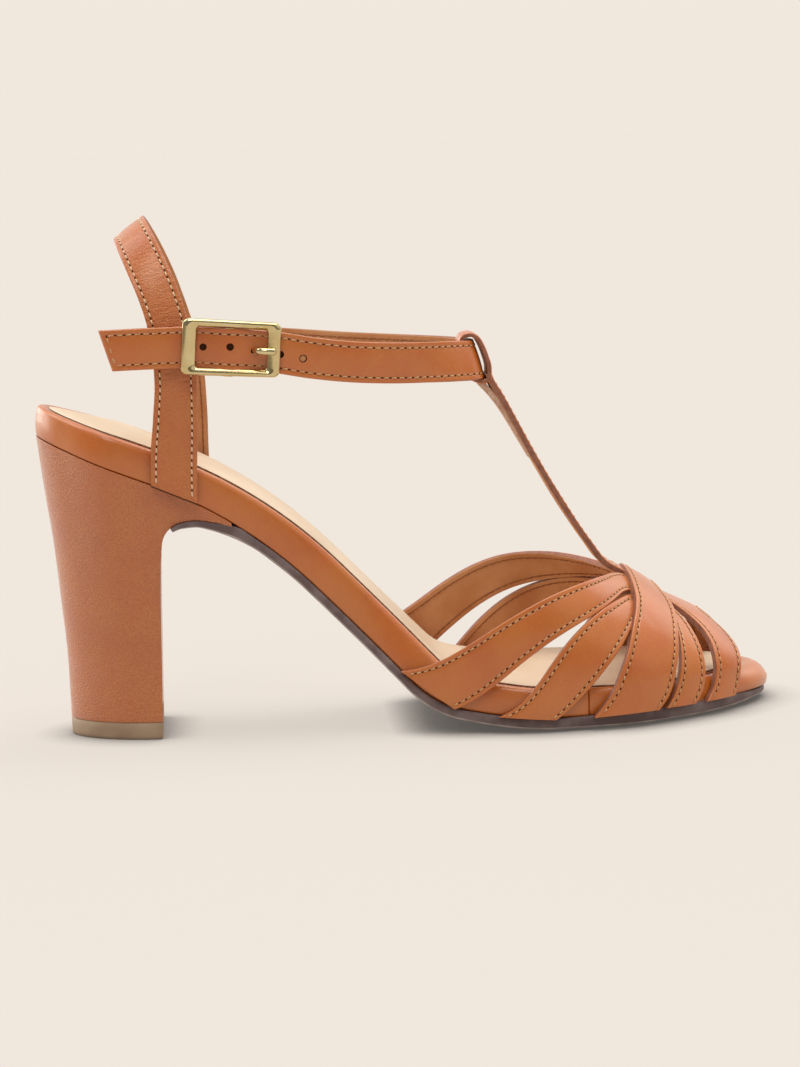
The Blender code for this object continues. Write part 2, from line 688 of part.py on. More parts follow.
def build_ankle_strap(group, cutters):
    line = ankle_points(96)
    run = np.gradient(line, axis=0)
    run /= np.linalg.norm(run, axis=1)[:, None]
    inward = np.stack([-run[:, 1], run[:, 0], np.zeros(len(run))], axis=1)
    inward /= np.linalg.norm(inward, axis=1)[:, None]
    lean = np.radians(ANKLE_LEAN) * ease(-np.abs(line[:, 1]), -24.0, -6.0)
    up = np.cross(run, inward) * np.cos(lean)[:, None] + inward * np.sin(lean)[:, None]
    slant = ANKLE_TIP_SLANT * ease(line[:, 0], 32.0, 24.0) * (line[:, 1] < 0)
    rows = []
    for p, d, u, s in zip(line, run, up, slant):
        rows.append(np.array([p + u * ANKLE_WIDE * k + d * s * -k for k in (-0.5, 0.0, 0.5)]))
    made = add("ankle_strap", sheet(rows), "camel_leather", group, wall=True)
    thicken(made, STRAP_THICK, 0.0)
    places = [(x, HOLE_WIDE, HOLE_WIDE) for x in HOLES_X]
    places.append((PRONG_HOLE_X, PRONG_HOLE_LONG, PRONG_HOLE_WIDE))
    turn = np.linspace(0.0, 2 * np.pi, 16, endpoint=False)
    for k, (x, long, wide) in enumerate(places):
        z = np.interp(x, [row[0] for row in ANKLE_LINE[:6]], [row[2] for row in ANKLE_LINE[:6]])
        ring = np.stack([x + long / 2 * np.cos(turn), np.zeros(16), z + wide / 2 * np.sin(turn)], axis=1)
        rings = [ring + (0.0, y, 0.0) for y in (-38.0, -24.0)]
        join(made, add(f"hole_cutter_{k}", loft(rings), "camel_leather", cutters), "DIFFERENCE")


def buckle_place(points):
    """Points from the buckle's own frame (along the strap, in towards the foot, up) to the shoe's."""
    points = np.asarray(points, float)
    tilt = np.radians(BUCKLE_TILT)
    x = points[:, 0] * np.cos(tilt) + points[:, 2] * np.sin(tilt)
    z = points[:, 2] * np.cos(tilt) - points[:, 0] * np.sin(tilt)
    return np.stack([x, points[:, 1], z], axis=1) + BUCKLE_AT


def rounded_box(long, high, near, far, corner, steps):
    """Plate with round corners in the buckle's frame, as rings at its near and far depth."""
    ring = []
    for k, (sx, sz) in enumerate(((1, 1), (-1, 1), (-1, -1), (1, -1))):
        turn = np.linspace(k, k + 1, steps) * np.pi / 2
        cx = sx * (long / 2 - corner)
        cz = sz * (high / 2 - corner)
        across = cx + corner * np.cos(turn)
        ring.append(np.stack([across, np.zeros(steps), cz + corner * np.sin(turn)], axis=1))
    ring = np.concatenate(ring)
    ring = np.roll(ring, -steps // 2, axis=0)
    return [ring + (0.0, near, 0.0), ring + (0.0, far, 0.0)]


def build_buckle(group, cutters):
    """Frame with a chamfered front, a centre bar on two lugs behind it, the prong and the leather tab."""
    half = BUCKLE_THICK / 2
    front = rounded_box(BUCKLE_LONG - 1.2, BUCKLE_HIGH - 1.2, -half, half, 1.8, 4)[0]
    body = rounded_box(BUCKLE_LONG, BUCKLE_HIGH, -half + 0.7, half, 2.4, 4)
    points, faces = loft([front] + body)
    frame = add("buckle_frame", (buckle_place(points), faces), "pale_brass", group)
    inner = rounded_box(BUCKLE_LONG - 2 * BUCKLE_END_BAR, BUCKLE_HIGH - 2 * BUCKLE_RAIL, -9.0, 9.0, 1.0, 3)
    points, faces = loft([ring + (BUCKLE_SHIFT, 0.0, 0.0) for ring in inner])
    join(frame, add("frame_cutter", (buckle_place(points), faces), "pale_brass", cutters), "DIFFERENCE")
    rail = BUCKLE_HIGH / 2 - BUCKLE_RAIL / 2
    for sign in (-1, 1):
        lug = rounded_box(3.2, BUCKLE_RAIL - 0.3, half - 0.6, BAR_DEEP + 1.2, 0.6, 3)
        points, faces = loft([ring + (0.0, 0.0, sign * rail) for ring in lug])
        join(frame, add(f"lug_{sign + 1}", (buckle_place(points), faces), "pale_brass", cutters), "UNION")
    points, faces = rod([(0.0, BAR_DEEP, z) for z in (-rail, 0.0, rail)], BAR_WIDE, 12)
    join(frame, add("centre_bar", (buckle_place(points), faces), "pale_brass", cutters), "UNION")
    line = along([(a, b, 0.0) for a, b in PRONG_LINE], 18)
    points, faces = rod(line, PRONG_WIDE, 10)
    add("buckle_prong", (buckle_place(points), faces), "pale_brass", group)
    radius = BAR_WIDE / 2 + SEAM_GAP + 0.05
    turn = np.linspace(0.5, -0.6, 12) * np.pi
    bend = [(radius * np.cos(a), BAR_DEEP - radius * np.sin(a)) for a in turn]
    rest = HEEL_STRAP_OUTER + SEAM_GAP + BUCKLE_AT[1]
    start = [(TAB_BACK - BUCKLE_AT[0], -rest), (-11.0, -rest), (-8.0, -rest)]
    start.append((-3.5, BAR_DEEP - radius - 0.05))
    line = np.array(start + bend)
    run = np.gradient(line, axis=0)
    run /= np.linalg.norm(run, axis=1)[:, None]
    out = line + np.stack([run[:, 1], -run[:, 0]], axis=1) * TAB_THICK
    rings = []
    for a, b in zip(line, out):
        rings.append(np.array([(p[0], p[1], z) for p, z in (
            (a, -TAB_HIGH / 2), (a, TAB_HIGH / 2), (b, TAB_HIGH / 2), (b, -TAB_HIGH / 2))]))
    points, faces = loft(rings)
    tab = add("buckle_tab", (buckle_place(points), faces), "camel_leather", group)
    points, faces = loft(rounded_box(7.4, TAB_SLOT, -3.0, 9.0, 1.0, 3))
    join(tab, add("tab_slot_cutter", (buckle_place(points), faces), "camel_leather", cutters), "DIFFERENCE")


def main():
    group, cutters = clear_scene()
    build_sole(group)
    build_heel(group, cutters)
    build_upper(group, cutters)
    build_heel_strap(group)
    build_ankle_strap(group, cutters)
    build_buckle(group, cutters)


main()
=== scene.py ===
"""Looks of the heeled sandal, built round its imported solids. Sizes are in millimetres in the shoe's own coordinates:
x from the heel's back to the toe, y from the outer to the inner side, z up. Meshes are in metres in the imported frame.
"""

import bmesh
import bpy
import numpy as np
from mathutils import Matrix, Vector


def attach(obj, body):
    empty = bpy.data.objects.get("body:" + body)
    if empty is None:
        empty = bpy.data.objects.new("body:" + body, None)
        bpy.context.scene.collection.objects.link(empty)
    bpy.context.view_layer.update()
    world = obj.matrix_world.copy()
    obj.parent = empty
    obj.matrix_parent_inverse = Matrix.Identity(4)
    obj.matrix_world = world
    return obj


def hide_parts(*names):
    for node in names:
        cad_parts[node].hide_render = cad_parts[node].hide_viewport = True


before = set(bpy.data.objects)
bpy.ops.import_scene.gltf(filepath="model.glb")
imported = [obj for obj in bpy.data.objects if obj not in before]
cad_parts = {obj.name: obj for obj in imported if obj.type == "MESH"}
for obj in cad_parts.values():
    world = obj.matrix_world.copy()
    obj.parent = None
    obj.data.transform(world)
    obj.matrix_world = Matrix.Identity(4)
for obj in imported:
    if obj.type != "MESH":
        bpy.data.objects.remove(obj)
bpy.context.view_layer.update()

# Midsole. A shaped board that carries the heel seat, the arch and the toe spring, wrapped in camel leather that
# is drawn over its edges. The wrap's two ends lap on the outer side, between the second and third straps.
ORIGIN = (111.75, 0.3, 0.0)
SEAM_GAP = 0.3
SOLE_BACK = 2.0
PLAN_LENGTH = 219.5
OUTSOLE_THICK = 3.1
TREAD_CAMBER = 0.7
CAMBER_START = 0.55
CAMBER_X = (105.0, 140.0)
UPRIGHT_LONG = 38.0
# Underside along the middle, from the back. Columns: length, slope at its end in degrees.
SOLE_STRETCHES = ((0.0, 22.5), (36.0, 22.5), (28.0, 34.0), (30.0, 46.5), (40.4, 47.5), (16.5, 14.0),
                  (28.0, 0.0), (22.0, 0.0), (47.0, -0.8))
# Thickness along the shoe. Columns: x, midsole, outsole.
SOLE_LAYERS = ((0.0, 9.0, 2.8), (62.0, 9.0, 2.8), (80.0, 9.0, 2.4), (108.0, 9.0, 2.3), (124.0, 8.7, 2.8),
               (148.0, 8.0, 3.1), (185.0, 7.1, 3.1), (205.0, 7.1, 3.0), (222.0, 7.0, 2.6))
# Plan outline. Columns: distance from the heel's back, outer edge, inner edge.
PLAN = ((0.0, 0.0, 0.0), (7.0, -15.5, 15.5), (23.0, -26.0, 26.0), (56.0, -24.5, 23.0), (90.0, -25.5, 20.0),
        (123.0, -34.5, 30.5), (148.0, -39.0, 37.5), (168.0, -37.5, 39.0), (188.0, -30.0, 36.0),
        (206.0, -17.5, 26.6), (214.0, -9.8, 18.6), (219.5, 4.4, 4.4))
WRAP_LAP_X = 161.2
WRAP_LAP_STEP = 0.35
WRAP_LAP_SHARP = 0.25
WRAP_LAP_FADE = (166.0, 176.0)
WRAP_LAP_SIDE = (30.0, 36.0)
WRAP_LAP_TROUGH = 0.55
WRAP_TROUGH_HALF = 0.2
WRAP_BACK_INSET = 0.6
WRAP_BACK_LOW = 0.7
# Edge of the wrapped board from bottom to top, with a bead at the rim and a fuller roll at the toe.
# Columns: inset, share of the height, millimetres added.
MIDSOLE_EDGE = ((1.0, 0.0, 0.0), (0.4, 0.0, 0.12), (0.1, 0.0, 0.45), (0.0, 0.0, 1.0), (-0.12, 0.25, 0.3),
                (-0.18, 0.45, 0.0), (-0.12, 0.65, -0.2), (0.0, 1.0, -1.7), (0.1, 1.0, -0.8), (0.45, 1.0, 0.0),
                (1.0, 1.0, 0.52), (1.7, 1.0, 0.75), (2.3, 1.0, 0.6), (2.8, 1.0, 0.25), (3.1, 1.0, 0.0),
                (3.8, 1.0, 0.0))
MIDSOLE_TOE = ((1.4, 0.0, 0.25), (0.6, 0.0, 0.3), (0.15, 0.0, 0.6), (0.0, 0.0, 1.2), (-0.1, 0.2, 0.4),
               (-0.1, 0.3, 0.3), (0.05, 0.4, 0.2), (0.35, 1.0, -3.2), (0.8, 1.0, -2.3), (1.5, 1.0, -1.4),
               (2.6, 1.0, -0.5), (3.9, 1.0, 0.1), (5.2, 1.0, 0.4), (6.4, 1.0, 0.4), (7.3, 1.0, 0.15), (8.2, 1.0, 0.0))
# Stations x of the edge at the back, where the back's inset ends, where the toe's roll starts, and at the toe.
MIDSOLE_STATIONS = (2.0, 34.0, 188.0, 217.0)


def smooth(at, table, column):
    """Cubic through one column of a table against its first column, with slopes that never overshoot."""
    xs = np.array([row[0] for row in table], float)
    ys = np.array([row[column] for row in table], float)
    step = np.diff(xs)
    rise = np.diff(ys) / step
    slope = np.concatenate([rise[:1], np.zeros(len(xs) - 2), rise[-1:]])
    same = rise[:-1] * rise[1:] > 0
    before = 2 * step[1:] + step[:-1]
    after = step[1:] + 2 * step[:-1]
    mixed = np.where(same, before * rise[1:] + after * rise[:-1], 1.0)
    slope[1:-1] = np.where(same, (before + after) * rise[:-1] * rise[1:] / mixed, 0.0)
    at = np.clip(np.asarray(at, float), xs[0], xs[-1])
    k = np.clip(np.searchsorted(xs, at, side="right") - 1, 0, len(step) - 1)
    t = (at - xs[k]) / step[k]
    start = ys[k] * (1 + 2 * t) * (1 - t) ** 2 + step[k] * slope[k] * t * (1 - t) ** 2
    return start + ys[k + 1] * t * t * (3 - 2 * t) + step[k] * slope[k + 1] * t * t * (t - 1)


def ease(x, low, high):
    """0 before low, 1 after high, and the cubic 3t2 - 2t3 between them."""
    t = np.clip((x - low) / (high - low), 0.0, 1.0)
    return t * t * (3 - 2 * t)


def hump(x, rise, full, fade, gone):
    """0 before rise, 1 from full to fade and 0 after gone, eased between them."""
    return ease(x, rise, full) * (1 - ease(x, fade, gone))


sole_length = np.cumsum([row[0] for row in SOLE_STRETCHES])
sole_steps = np.linspace(0.0, sole_length[-1], 2001)
sole_slopes = np.interp(sole_steps, sole_length, [row[1] for row in SOLE_STRETCHES])
step_turn = np.radians((sole_slopes[1:] + sole_slopes[:-1]) / 2)
sole_xs = SOLE_BACK + np.concatenate([[0.0], np.cumsum(np.cos(step_turn))]) * sole_steps[1]
sole_zs = -np.concatenate([[0.0], np.cumsum(np.sin(step_turn))]) * sole_steps[1]
sole_zs += OUTSOLE_THICK + SEAM_GAP - sole_zs.min()


def sole_z(x):
    """Height of the midsole's underside at x, from its slopes summed along it."""
    return np.interp(x, sole_xs, sole_zs)


def sole_slope(x):
    return np.radians(np.interp(x, sole_xs, sole_slopes))


def plan_turn(x):
    """Station as a share of half a turn, which makes the outline's two ends round."""
    return np.arccos(np.clip(1 - 2 * (x - SOLE_BACK) / PLAN_LENGTH, -1.0, 1.0)) / np.pi


PLAN_TURNS = [(plan_turn(row[0] + SOLE_BACK), row[1], row[2]) for row in PLAN]


def plan_edge(x, side, out=0.0):
    """Outline's y at x on one side, moved out at right angles to it."""
    column = 1 if side < 0 else 2
    y = smooth(plan_turn(x), PLAN_TURNS, column)
    rise = smooth(plan_turn(x + 0.5), PLAN_TURNS, column) - smooth(plan_turn(x - 0.5), PLAN_TURNS, column)
    return y + side * out * np.minimum(np.hypot(1.0, rise), 2.5)


def sole_point(x, y, high):
    """Point of the sole over (x, y) of the plan, this far above the midsole's underside. Layers rise upright at the
    heel's back and square to the slope further on, and the tread's two sides curve up by the camber."""
    left = plan_edge(x, -1)
    right = plan_edge(x, 1)
    across = np.abs(2 * y - left - right) / np.maximum(right - left, 1.0)
    camber = np.clip((across - CAMBER_START) / (1 - CAMBER_START), 0.0, 1.0) ** 2
    slope = sole_slope(x)
    lean = slope * ease(x, SOLE_BACK, SOLE_BACK + UPRIGHT_LONG)
    reach = high / np.cos(slope - lean)
    lift = sole_z(x) + TREAD_CAMBER * ease(x, *CAMBER_X) * camber + reach * np.cos(lean)
    return np.stack([x + reach * np.sin(lean), y, lift], axis=-1)


def sole_layer(edges, low, high, count=230, columns=14, close=()):
    """Closed skin of one sole layer as rings along the shoe. The plan outline is drawn in and raised along an edge's
    rows on both sides, and the top and bottom run straight across between the two. edges gives the rows at stations
    as (x, rows), eased between them, and close adds rings."""
    turn = np.sort(np.concatenate([np.linspace(0.0, 1.0, count), plan_turn(np.array(close))]))
    x = SOLE_BACK + PLAN_LENGTH * (1 - np.cos(np.pi * turn)) / 2
    stations = np.array([station for station, rows in edges])
    tables = np.array([rows for station, rows in edges], float).transpose(2, 1, 0)
    k = np.clip(np.searchsorted(stations, x) - 1, 0, len(edges) - 2)
    ahead = ease(x, stations[k], stations[k + 1])
    inset, share, added = tables[..., k] + (tables[..., k + 1] - tables[..., k]) * ahead
    sides = []
    for side, column in ((-1, 1), (1, 2)):
        y = smooth(turn, PLAN_TURNS, column)
        run = np.stack([np.gradient(x, turn), np.gradient(y, turn)])
        run[0, [0, -1]] = 0.0
        run /= np.linalg.norm(run, axis=0)
        sides.append((x + side * run[1] * inset, y - side * run[0] * inset))

    def height(at, part, more):
        return low(at) + (high(at) - low(at)) * part + more

    def across(row, shares):
        at = [sides[0][k][row] * (1 - shares) + sides[1][k][row] * shares for k in (0, 1)]
        return sole_point(at[0], at[1], height(at[0], share[row], added[row]))

    outer, inner = (sole_point(a, b, height(a, share, added)) for a, b in sides)
    middle = np.linspace(0.0, 1.0, columns + 2)[1:-1, None]
    rings = np.concatenate([outer[::-1], across(0, middle), inner, across(-1, middle[::-1])])
    return rings.transpose(1, 0, 2)


def put(name, mesh, materials):
    """Mesh as an object of the scene, shaded smooth, with its materials."""
    for material in materials:
        mesh.materials.append(material)
    mesh.shade_smooth()
    piece = bpy.data.objects.new(name, mesh)
    bpy.context.scene.collection.objects.link(piece)
    return piece


def quads_of(here, ahead):
    """Quads between rows of point numbers and the rows ahead of them, closed round."""
    return np.stack([here, np.roll(here, -1, 1), np.roll(ahead, -1, 1), ahead], axis=-1).reshape(-1, 4)


def skin(name, grid, materials, zones=None, loop=False, capped=True, run=None, crease=50.0):
    """Piece over a grid of points (row, column, xyz in mm): quads closed round the columns, and round the rows if
    loop. zones gives each column its material, and run is an optional (along, across, deep) for each point."""
    rows, columns = grid.shape[:2]
    index = np.arange(rows * columns).reshape(rows, columns)
    here = index if loop else index[:-1]
    ahead = np.roll(index, -1, axis=0) if loop else index[1:]
    faces = quads_of(here, ahead).tolist()
    zone = np.tile(np.zeros(columns, int) if zones is None else zones, len(here)).tolist()
    if capped and not loop:
        faces += [index[0].tolist(), index[-1].tolist()]
        zone += [max(zone)] * 2
    mesh = bpy.data.meshes.new(name)
    mesh.from_pydata((grid.reshape(-1, 3) - ORIGIN) / 1000, [], faces)
    mesh.polygons.foreach_set("material_index", zone)
    if run is not None:
        mesh.attributes.new("run", "FLOAT_VECTOR", "POINT").data.foreach_set("vector", run.astype(np.float32).ravel())
    work = bmesh.new()
    work.from_mesh(mesh)
    bmesh.ops.remove_doubles(work, verts=work.verts, dist=1e-6)
    bmesh.ops.dissolve_degenerate(work, edges=work.edges, dist=1e-7)
    bmesh.ops.recalc_face_normals(work, faces=work.faces)
    work.to_mesh(mesh)
    work.free()
    piece = put(name, mesh, materials)
    mesh.set_sharp_from_angle(angle=np.radians(crease))
    return piece


def settle(piece, slot, *nodes):
    """The piece rides on the one body and stands for the nodes, whose parts are hidden. slot is not used."""
    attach(piece, "root")
    if nodes:
        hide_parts(*nodes)


def finish_of(name, **sockets):
    """New material: its node tree and its Principled shader with constants set on the shader's own sockets."""
    material = bpy.data.materials.new(name)
    material.use_nodes = True
    tree = material.node_tree
    shader = tree.nodes["Principled BSDF"]
    for socket, value in sockets.items():
        shader.inputs[socket.replace("_", " ")].default_value = value
    return material, tree, shader


def link(tree, kind, inputs=None, **settings):
    """New node with its settings; inputs maps a socket's name or number to a value or to another node's output."""
    made = tree.nodes.new(kind)
    for key, value in settings.items():
        setattr(made, key, value)
    for key, value in (inputs or {}).items():
        if isinstance(value, bpy.types.NodeSocket):
            tree.links.new(value, made.inputs[key])
        else:
            made.inputs[key].default_value = value
    return made


def mix(tree, share, first, second):
    """Colour mix of two colours or outputs by a share."""
    return link(tree, "ShaderNodeMix", {0: share, 6: first, 7: second}, data_type="RGBA").outputs[2]


def span(tree, value, low, high, to_low=0.0, to_high=1.0):
    """Value mapped smoothly from low..high to to_low..to_high."""
    return link(tree, "ShaderNodeMapRange", {0: value, 1: low, 2: high, 3: to_low, 4: to_high},
                interpolation_type="SMOOTHSTEP").outputs[0]


def noise(tree, place, scale, detail=2.0, **more):
    """Soft noise on coordinates, with so many swells to their unit."""
    return link(tree, "ShaderNodeTexNoise", {"Vector": place, "Scale": scale, "Detail": detail, **more}).outputs[0]


def fine_creases(tree, onward, across, wild):
    """Fine creases across a strap: noise on its run, close along the strap and drawn out across it."""
    follow = link(tree, "ShaderNodeAttribute", attribute_name="run").outputs["Vector"]
    drawn = link(tree, "ShaderNodeMapping", {"Vector": follow, "Scale": (onward, across, 0.0)}).outputs[0]
    return noise(tree, drawn, 1.0, 4.0, Distortion=wild)


def relief(tree, height, strength, deep, **more):
    """Bump's normal by a height, so strong and so many metres deep."""
    inputs = {"Height": height, "Strength": strength, "Distance": deep, **more}
    return link(tree, "ShaderNodeBump", inputs).outputs[0]


CAMEL = (0.57, 0.145, 0.014, 1.0)
CAMEL_DEEP = (0.47, 0.104, 0.008, 1.0)
CAMEL_GOLD = (0.56, 0.174, 0.019, 1.0)
CAMEL_PALE = (0.66, 0.224, 0.044, 1.0)


def camel_leather(name, grain, wrinkle=0.0, coat=0.5):
    """Smooth camel leather: close browns in soft clouds, pores and pebbled cells as bump, a satin coat. grain is the
    depth of the pebble, wrinkle that of fine creases across a strap, which follow its run."""
    material, tree, shader = finish_of(name, Coat_Weight=coat, Coat_Roughness=0.22, Specular_IOR_Level=0.65)
    place = link(tree, "ShaderNodeTexCoord").outputs["Object"]
    fleck = noise(tree, place, 1500.0)
    cells = link(tree, "ShaderNodeTexVoronoi", {"Vector": place, "Scale": 1900.0, "Randomness": 1.0}).outputs[0]
    tone = mix(tree, span(tree, noise(tree, place, 55.0, 3.0), 0.25, 0.75, 0.2, 0.8), CAMEL_DEEP, CAMEL)
    tone = mix(tree, span(tree, noise(tree, place, 80.0), 0.35, 0.65, 0.0, 0.5), tone, CAMEL_GOLD)
    tone = mix(tree, span(tree, fleck, 0.55, 0.8, 0.0, 0.35), tone, CAMEL_PALE)
    tone = mix(tree, span(tree, cells, 0.4, 0.75, 0.0, grain), tone, CAMEL_DEEP)
    tree.links.new(tone, shader.inputs["Base Color"])
    tree.links.new(span(tree, fleck, 0.3, 0.75, 0.3, 0.42), shader.inputs["Roughness"])
    height = link(tree, "ShaderNodeMath", {0: cells, 1: noise(tree, place, 3600.0)}, operation="ADD").outputs[0]
    normal = relief(tree, height, grain, 0.0003)
    normal.node.invert = True
    if wrinkle:
        normal = relief(tree, fine_creases(tree, 1.3, 0.3, 0.6), wrinkle, 0.0005, Normal=normal)
    tree.links.new(normal, shader.inputs["Normal"])
    return material


def midsole_thick(x):
    return smooth(x, SOLE_LAYERS, 1)


def lap(grid):
    """Wrap's lapped end: on the outer side the leather ahead of the lap lies lower by a step, with a thin trough."""
    x = grid[..., 0]
    step = hump(x, WRAP_LAP_X - WRAP_LAP_SHARP, WRAP_LAP_X, *WRAP_LAP_FADE)
    trough = np.exp(-((x - WRAP_LAP_X) / WRAP_TROUGH_HALF) ** 2)
    grid[..., 1] += (WRAP_LAP_STEP * step + WRAP_LAP_TROUGH * trough) * ease(-grid[..., 1], *WRAP_LAP_SIDE)
    return grid


wrap_leather = camel_leather("wrap_leather", 0.16)
at_back = [(inset + WRAP_BACK_INSET * part, part, more - WRAP_BACK_LOW * part) for inset, part, more in MIDSOLE_EDGE]
rings = sole_layer(list(zip(MIDSOLE_STATIONS, (at_back, MIDSOLE_EDGE, MIDSOLE_EDGE, MIDSOLE_TOE))),
                   lambda x: 0.0 * x, midsole_thick, count=300, close=WRAP_LAP_X + np.linspace(-0.75, 0.75, 19))
midsole = skin("midsole_wrap", lap(rings), [wrap_leather], capped=False, crease=70.0)
settle(midsole, "camel_leather", "midsole")

# Insole sock. A pale leather sheet with a thin foam behind it, glued on the wrapped board a little inside its edge.
# Its cut edge is rounded and dark brown: partly the edge's own colour, partly painted shade of the open joint to the
# wrap.
SOCK_THICK = 1.0
SOCK_GLUE = 0.06
# Edge from bottom to top. Columns: inset, share of the height, millimetres added.
SOCK_EDGE = ((3.6, 0.0, 0.0), (3.2, 0.0, 0.05), (3.1, 0.3, 0.0), (3.1, 0.6, 0.0), (3.2, 0.85, 0.0), (3.5, 1.0, -0.03),
             (4.0, 1.0, 0.0), (5.0, 1.0, 0.04))
SOCK_STATIONS = (4.0, 30.0, 186.0, 217.0)
SOCK_BACK_INSET = 1.0
SOCK_BACK_LOW = 1.15
SOCK_TOE_INSET = 5.2
# Columns of the cut edge painted dark: edge colour and painted shade of the joint to the wrap.
SOCK_SHADE_COLUMNS = (3, 4, 24, 25)
SOCK_CREAM = (0.69, 0.53, 0.37, 1.0)
SOCK_PALE = (0.76, 0.62, 0.46, 1.0)
SOCK_CUT_SHADE = (0.13, 0.05, 0.025, 1.0)


def two_tone(name, first, second, scale, detail=2.0, mixed=(0.3, 0.7), rough=None, grain=None, **sockets):
    """Finish of two colours in soft clouds: noise mixes them, mapped by mixed as span says or as it is, and may set
    the roughness between two values. grain is a fine bump's texture, scale and strength."""
    material, tree, shader = finish_of(name, **sockets)
    place = link(tree, "ShaderNodeTexCoord").outputs["Object"]
    cloud = noise(tree, place, scale, detail)
    share = span(tree, cloud, *mixed) if mixed else cloud
    tree.links.new(mix(tree, share, first, second), shader.inputs["Base Color"])
    if rough:
        tree.links.new(span(tree, cloud, 0.3, 0.7, *rough), shader.inputs["Roughness"])
    if grain:
        texture, fine, strength = grain
        height = link(tree, "ShaderNodeTex" + texture, {"Vector": place, "Scale": fine}).outputs[0]
        tree.links.new(relief(tree, height, strength, 0.0001), shader.inputs["Normal"])
    return material


sock_leather = two_tone("sock_leather", SOCK_CREAM, SOCK_PALE, 40.0, 4.0, rough=(0.5, 0.62),
                        grain=("Voronoi", 1300.0, 0.14), Specular_IOR_Level=0.35)
# The cut edge's dark brown is partly painted shade of the open joint to the wrap.
sock_cut_shade = two_tone("sock_edge_and_shade", SOCK_CUT_SHADE, SOCK_CREAM, 900.0, mixed=(0.3, 0.7, 0.0, 0.25), Roughness=0.7,
                    Specular_IOR_Level=0.2)
at_back = [(inset + SOCK_BACK_INSET, part, more - SOCK_BACK_LOW * part) for inset, part, more in SOCK_EDGE]
at_toe = [(inset + SOCK_TOE_INSET, part, more) for inset, part, more in SOCK_EDGE]
rings = sole_layer(list(zip(SOCK_STATIONS, (at_back, SOCK_EDGE, SOCK_EDGE, at_toe))),
                   lambda x: midsole_thick(x) + SOCK_GLUE, lambda x: midsole_thick(x) + SEAM_GAP + SOCK_THICK)
zones = np.zeros(rings.shape[1], int)
zones[list(SOCK_SHADE_COLUMNS)] = 1
sock = skin("insole_sock_sheet", rings, [sock_leather, sock_cut_shade], zones, capped=False, crease=70.0)
settle(sock, "sock_leather", "insole_sock")

# Outsole. A thin dark rubber sole cemented under the wrap from the toe to the heel's lip, where its tail follows the
# arch of the heel's breast. Its edge is trimmed square, with a paler burnished line along the bottom.
OUTSOLE_UNDER = 0.05
OUTSOLE_PROUD = 0.8
OUTSOLE_PROUD_X = (60.0, 120.0, 180.0, 218.0)
OUTSOLE_RIM = 0.5
OUTSOLE_RIM_X = (150.0, 178.0, 205.0, 218.0)
OUTSOLE_TOE = 200.0
OUTSOLE_TOE_INSET = 1.2
OUTSOLE_TOE_LIFT = 1.1
OUTSOLE_TOE_LIFT_X = (203.0, 220.5)
# Breast of the heel and its arch seen from the side. Columns: x, z.
BREAST = ((35.8, 0.0), (36.4, 20.0), (37.95, 56.5), (38.6, 60.3), (40.4, 63.2), (43.8, 65.2), (48.2, 65.75),
          (54.0, 64.85), (60.5, 62.8))
# Tail of the outsole. Columns: x where it lies against the breast, x and z of its lower face there.
TAIL = ((41.0, 41.7, 62.6), (44.0, 44.4, 63.45), (48.0, 48.2, 63.65), (53.0, 52.6, 62.6), (58.0, 57.0, 60.95),
        (62.0, 60.4, 59.35), (66.0, 64.4, 57.1), (70.0, 68.3, 54.3), (76.0, 74.1, 49.3))
TAIL_END_X = (67.0, 75.0)
# Stations at which the arch runs on along the midsole's underside.
TAIL_ARCH_X = (61.0, 65.0, 70.0, 76.0)
TAIL_GAP = 0.1
# Edge from the bottom up. Columns: inset, share of the height.
OUTSOLE_EDGE = ((1.6, 0.0), (0.9, 0.0), (0.45, 0.03), (0.2, 0.1), (0.1, 0.2), (0.03, 0.4), (0.0, 0.6), (0.05, 0.8),
                (0.2, 0.94), (0.5, 1.0), (1.2, 1.0))
SOLE_BROWN = (0.12, 0.076, 0.074, 1.0)
SOLE_GREY = (0.2, 0.146, 0.14, 1.0)
BURNISH = (0.45, 0.37, 0.33, 1.0)


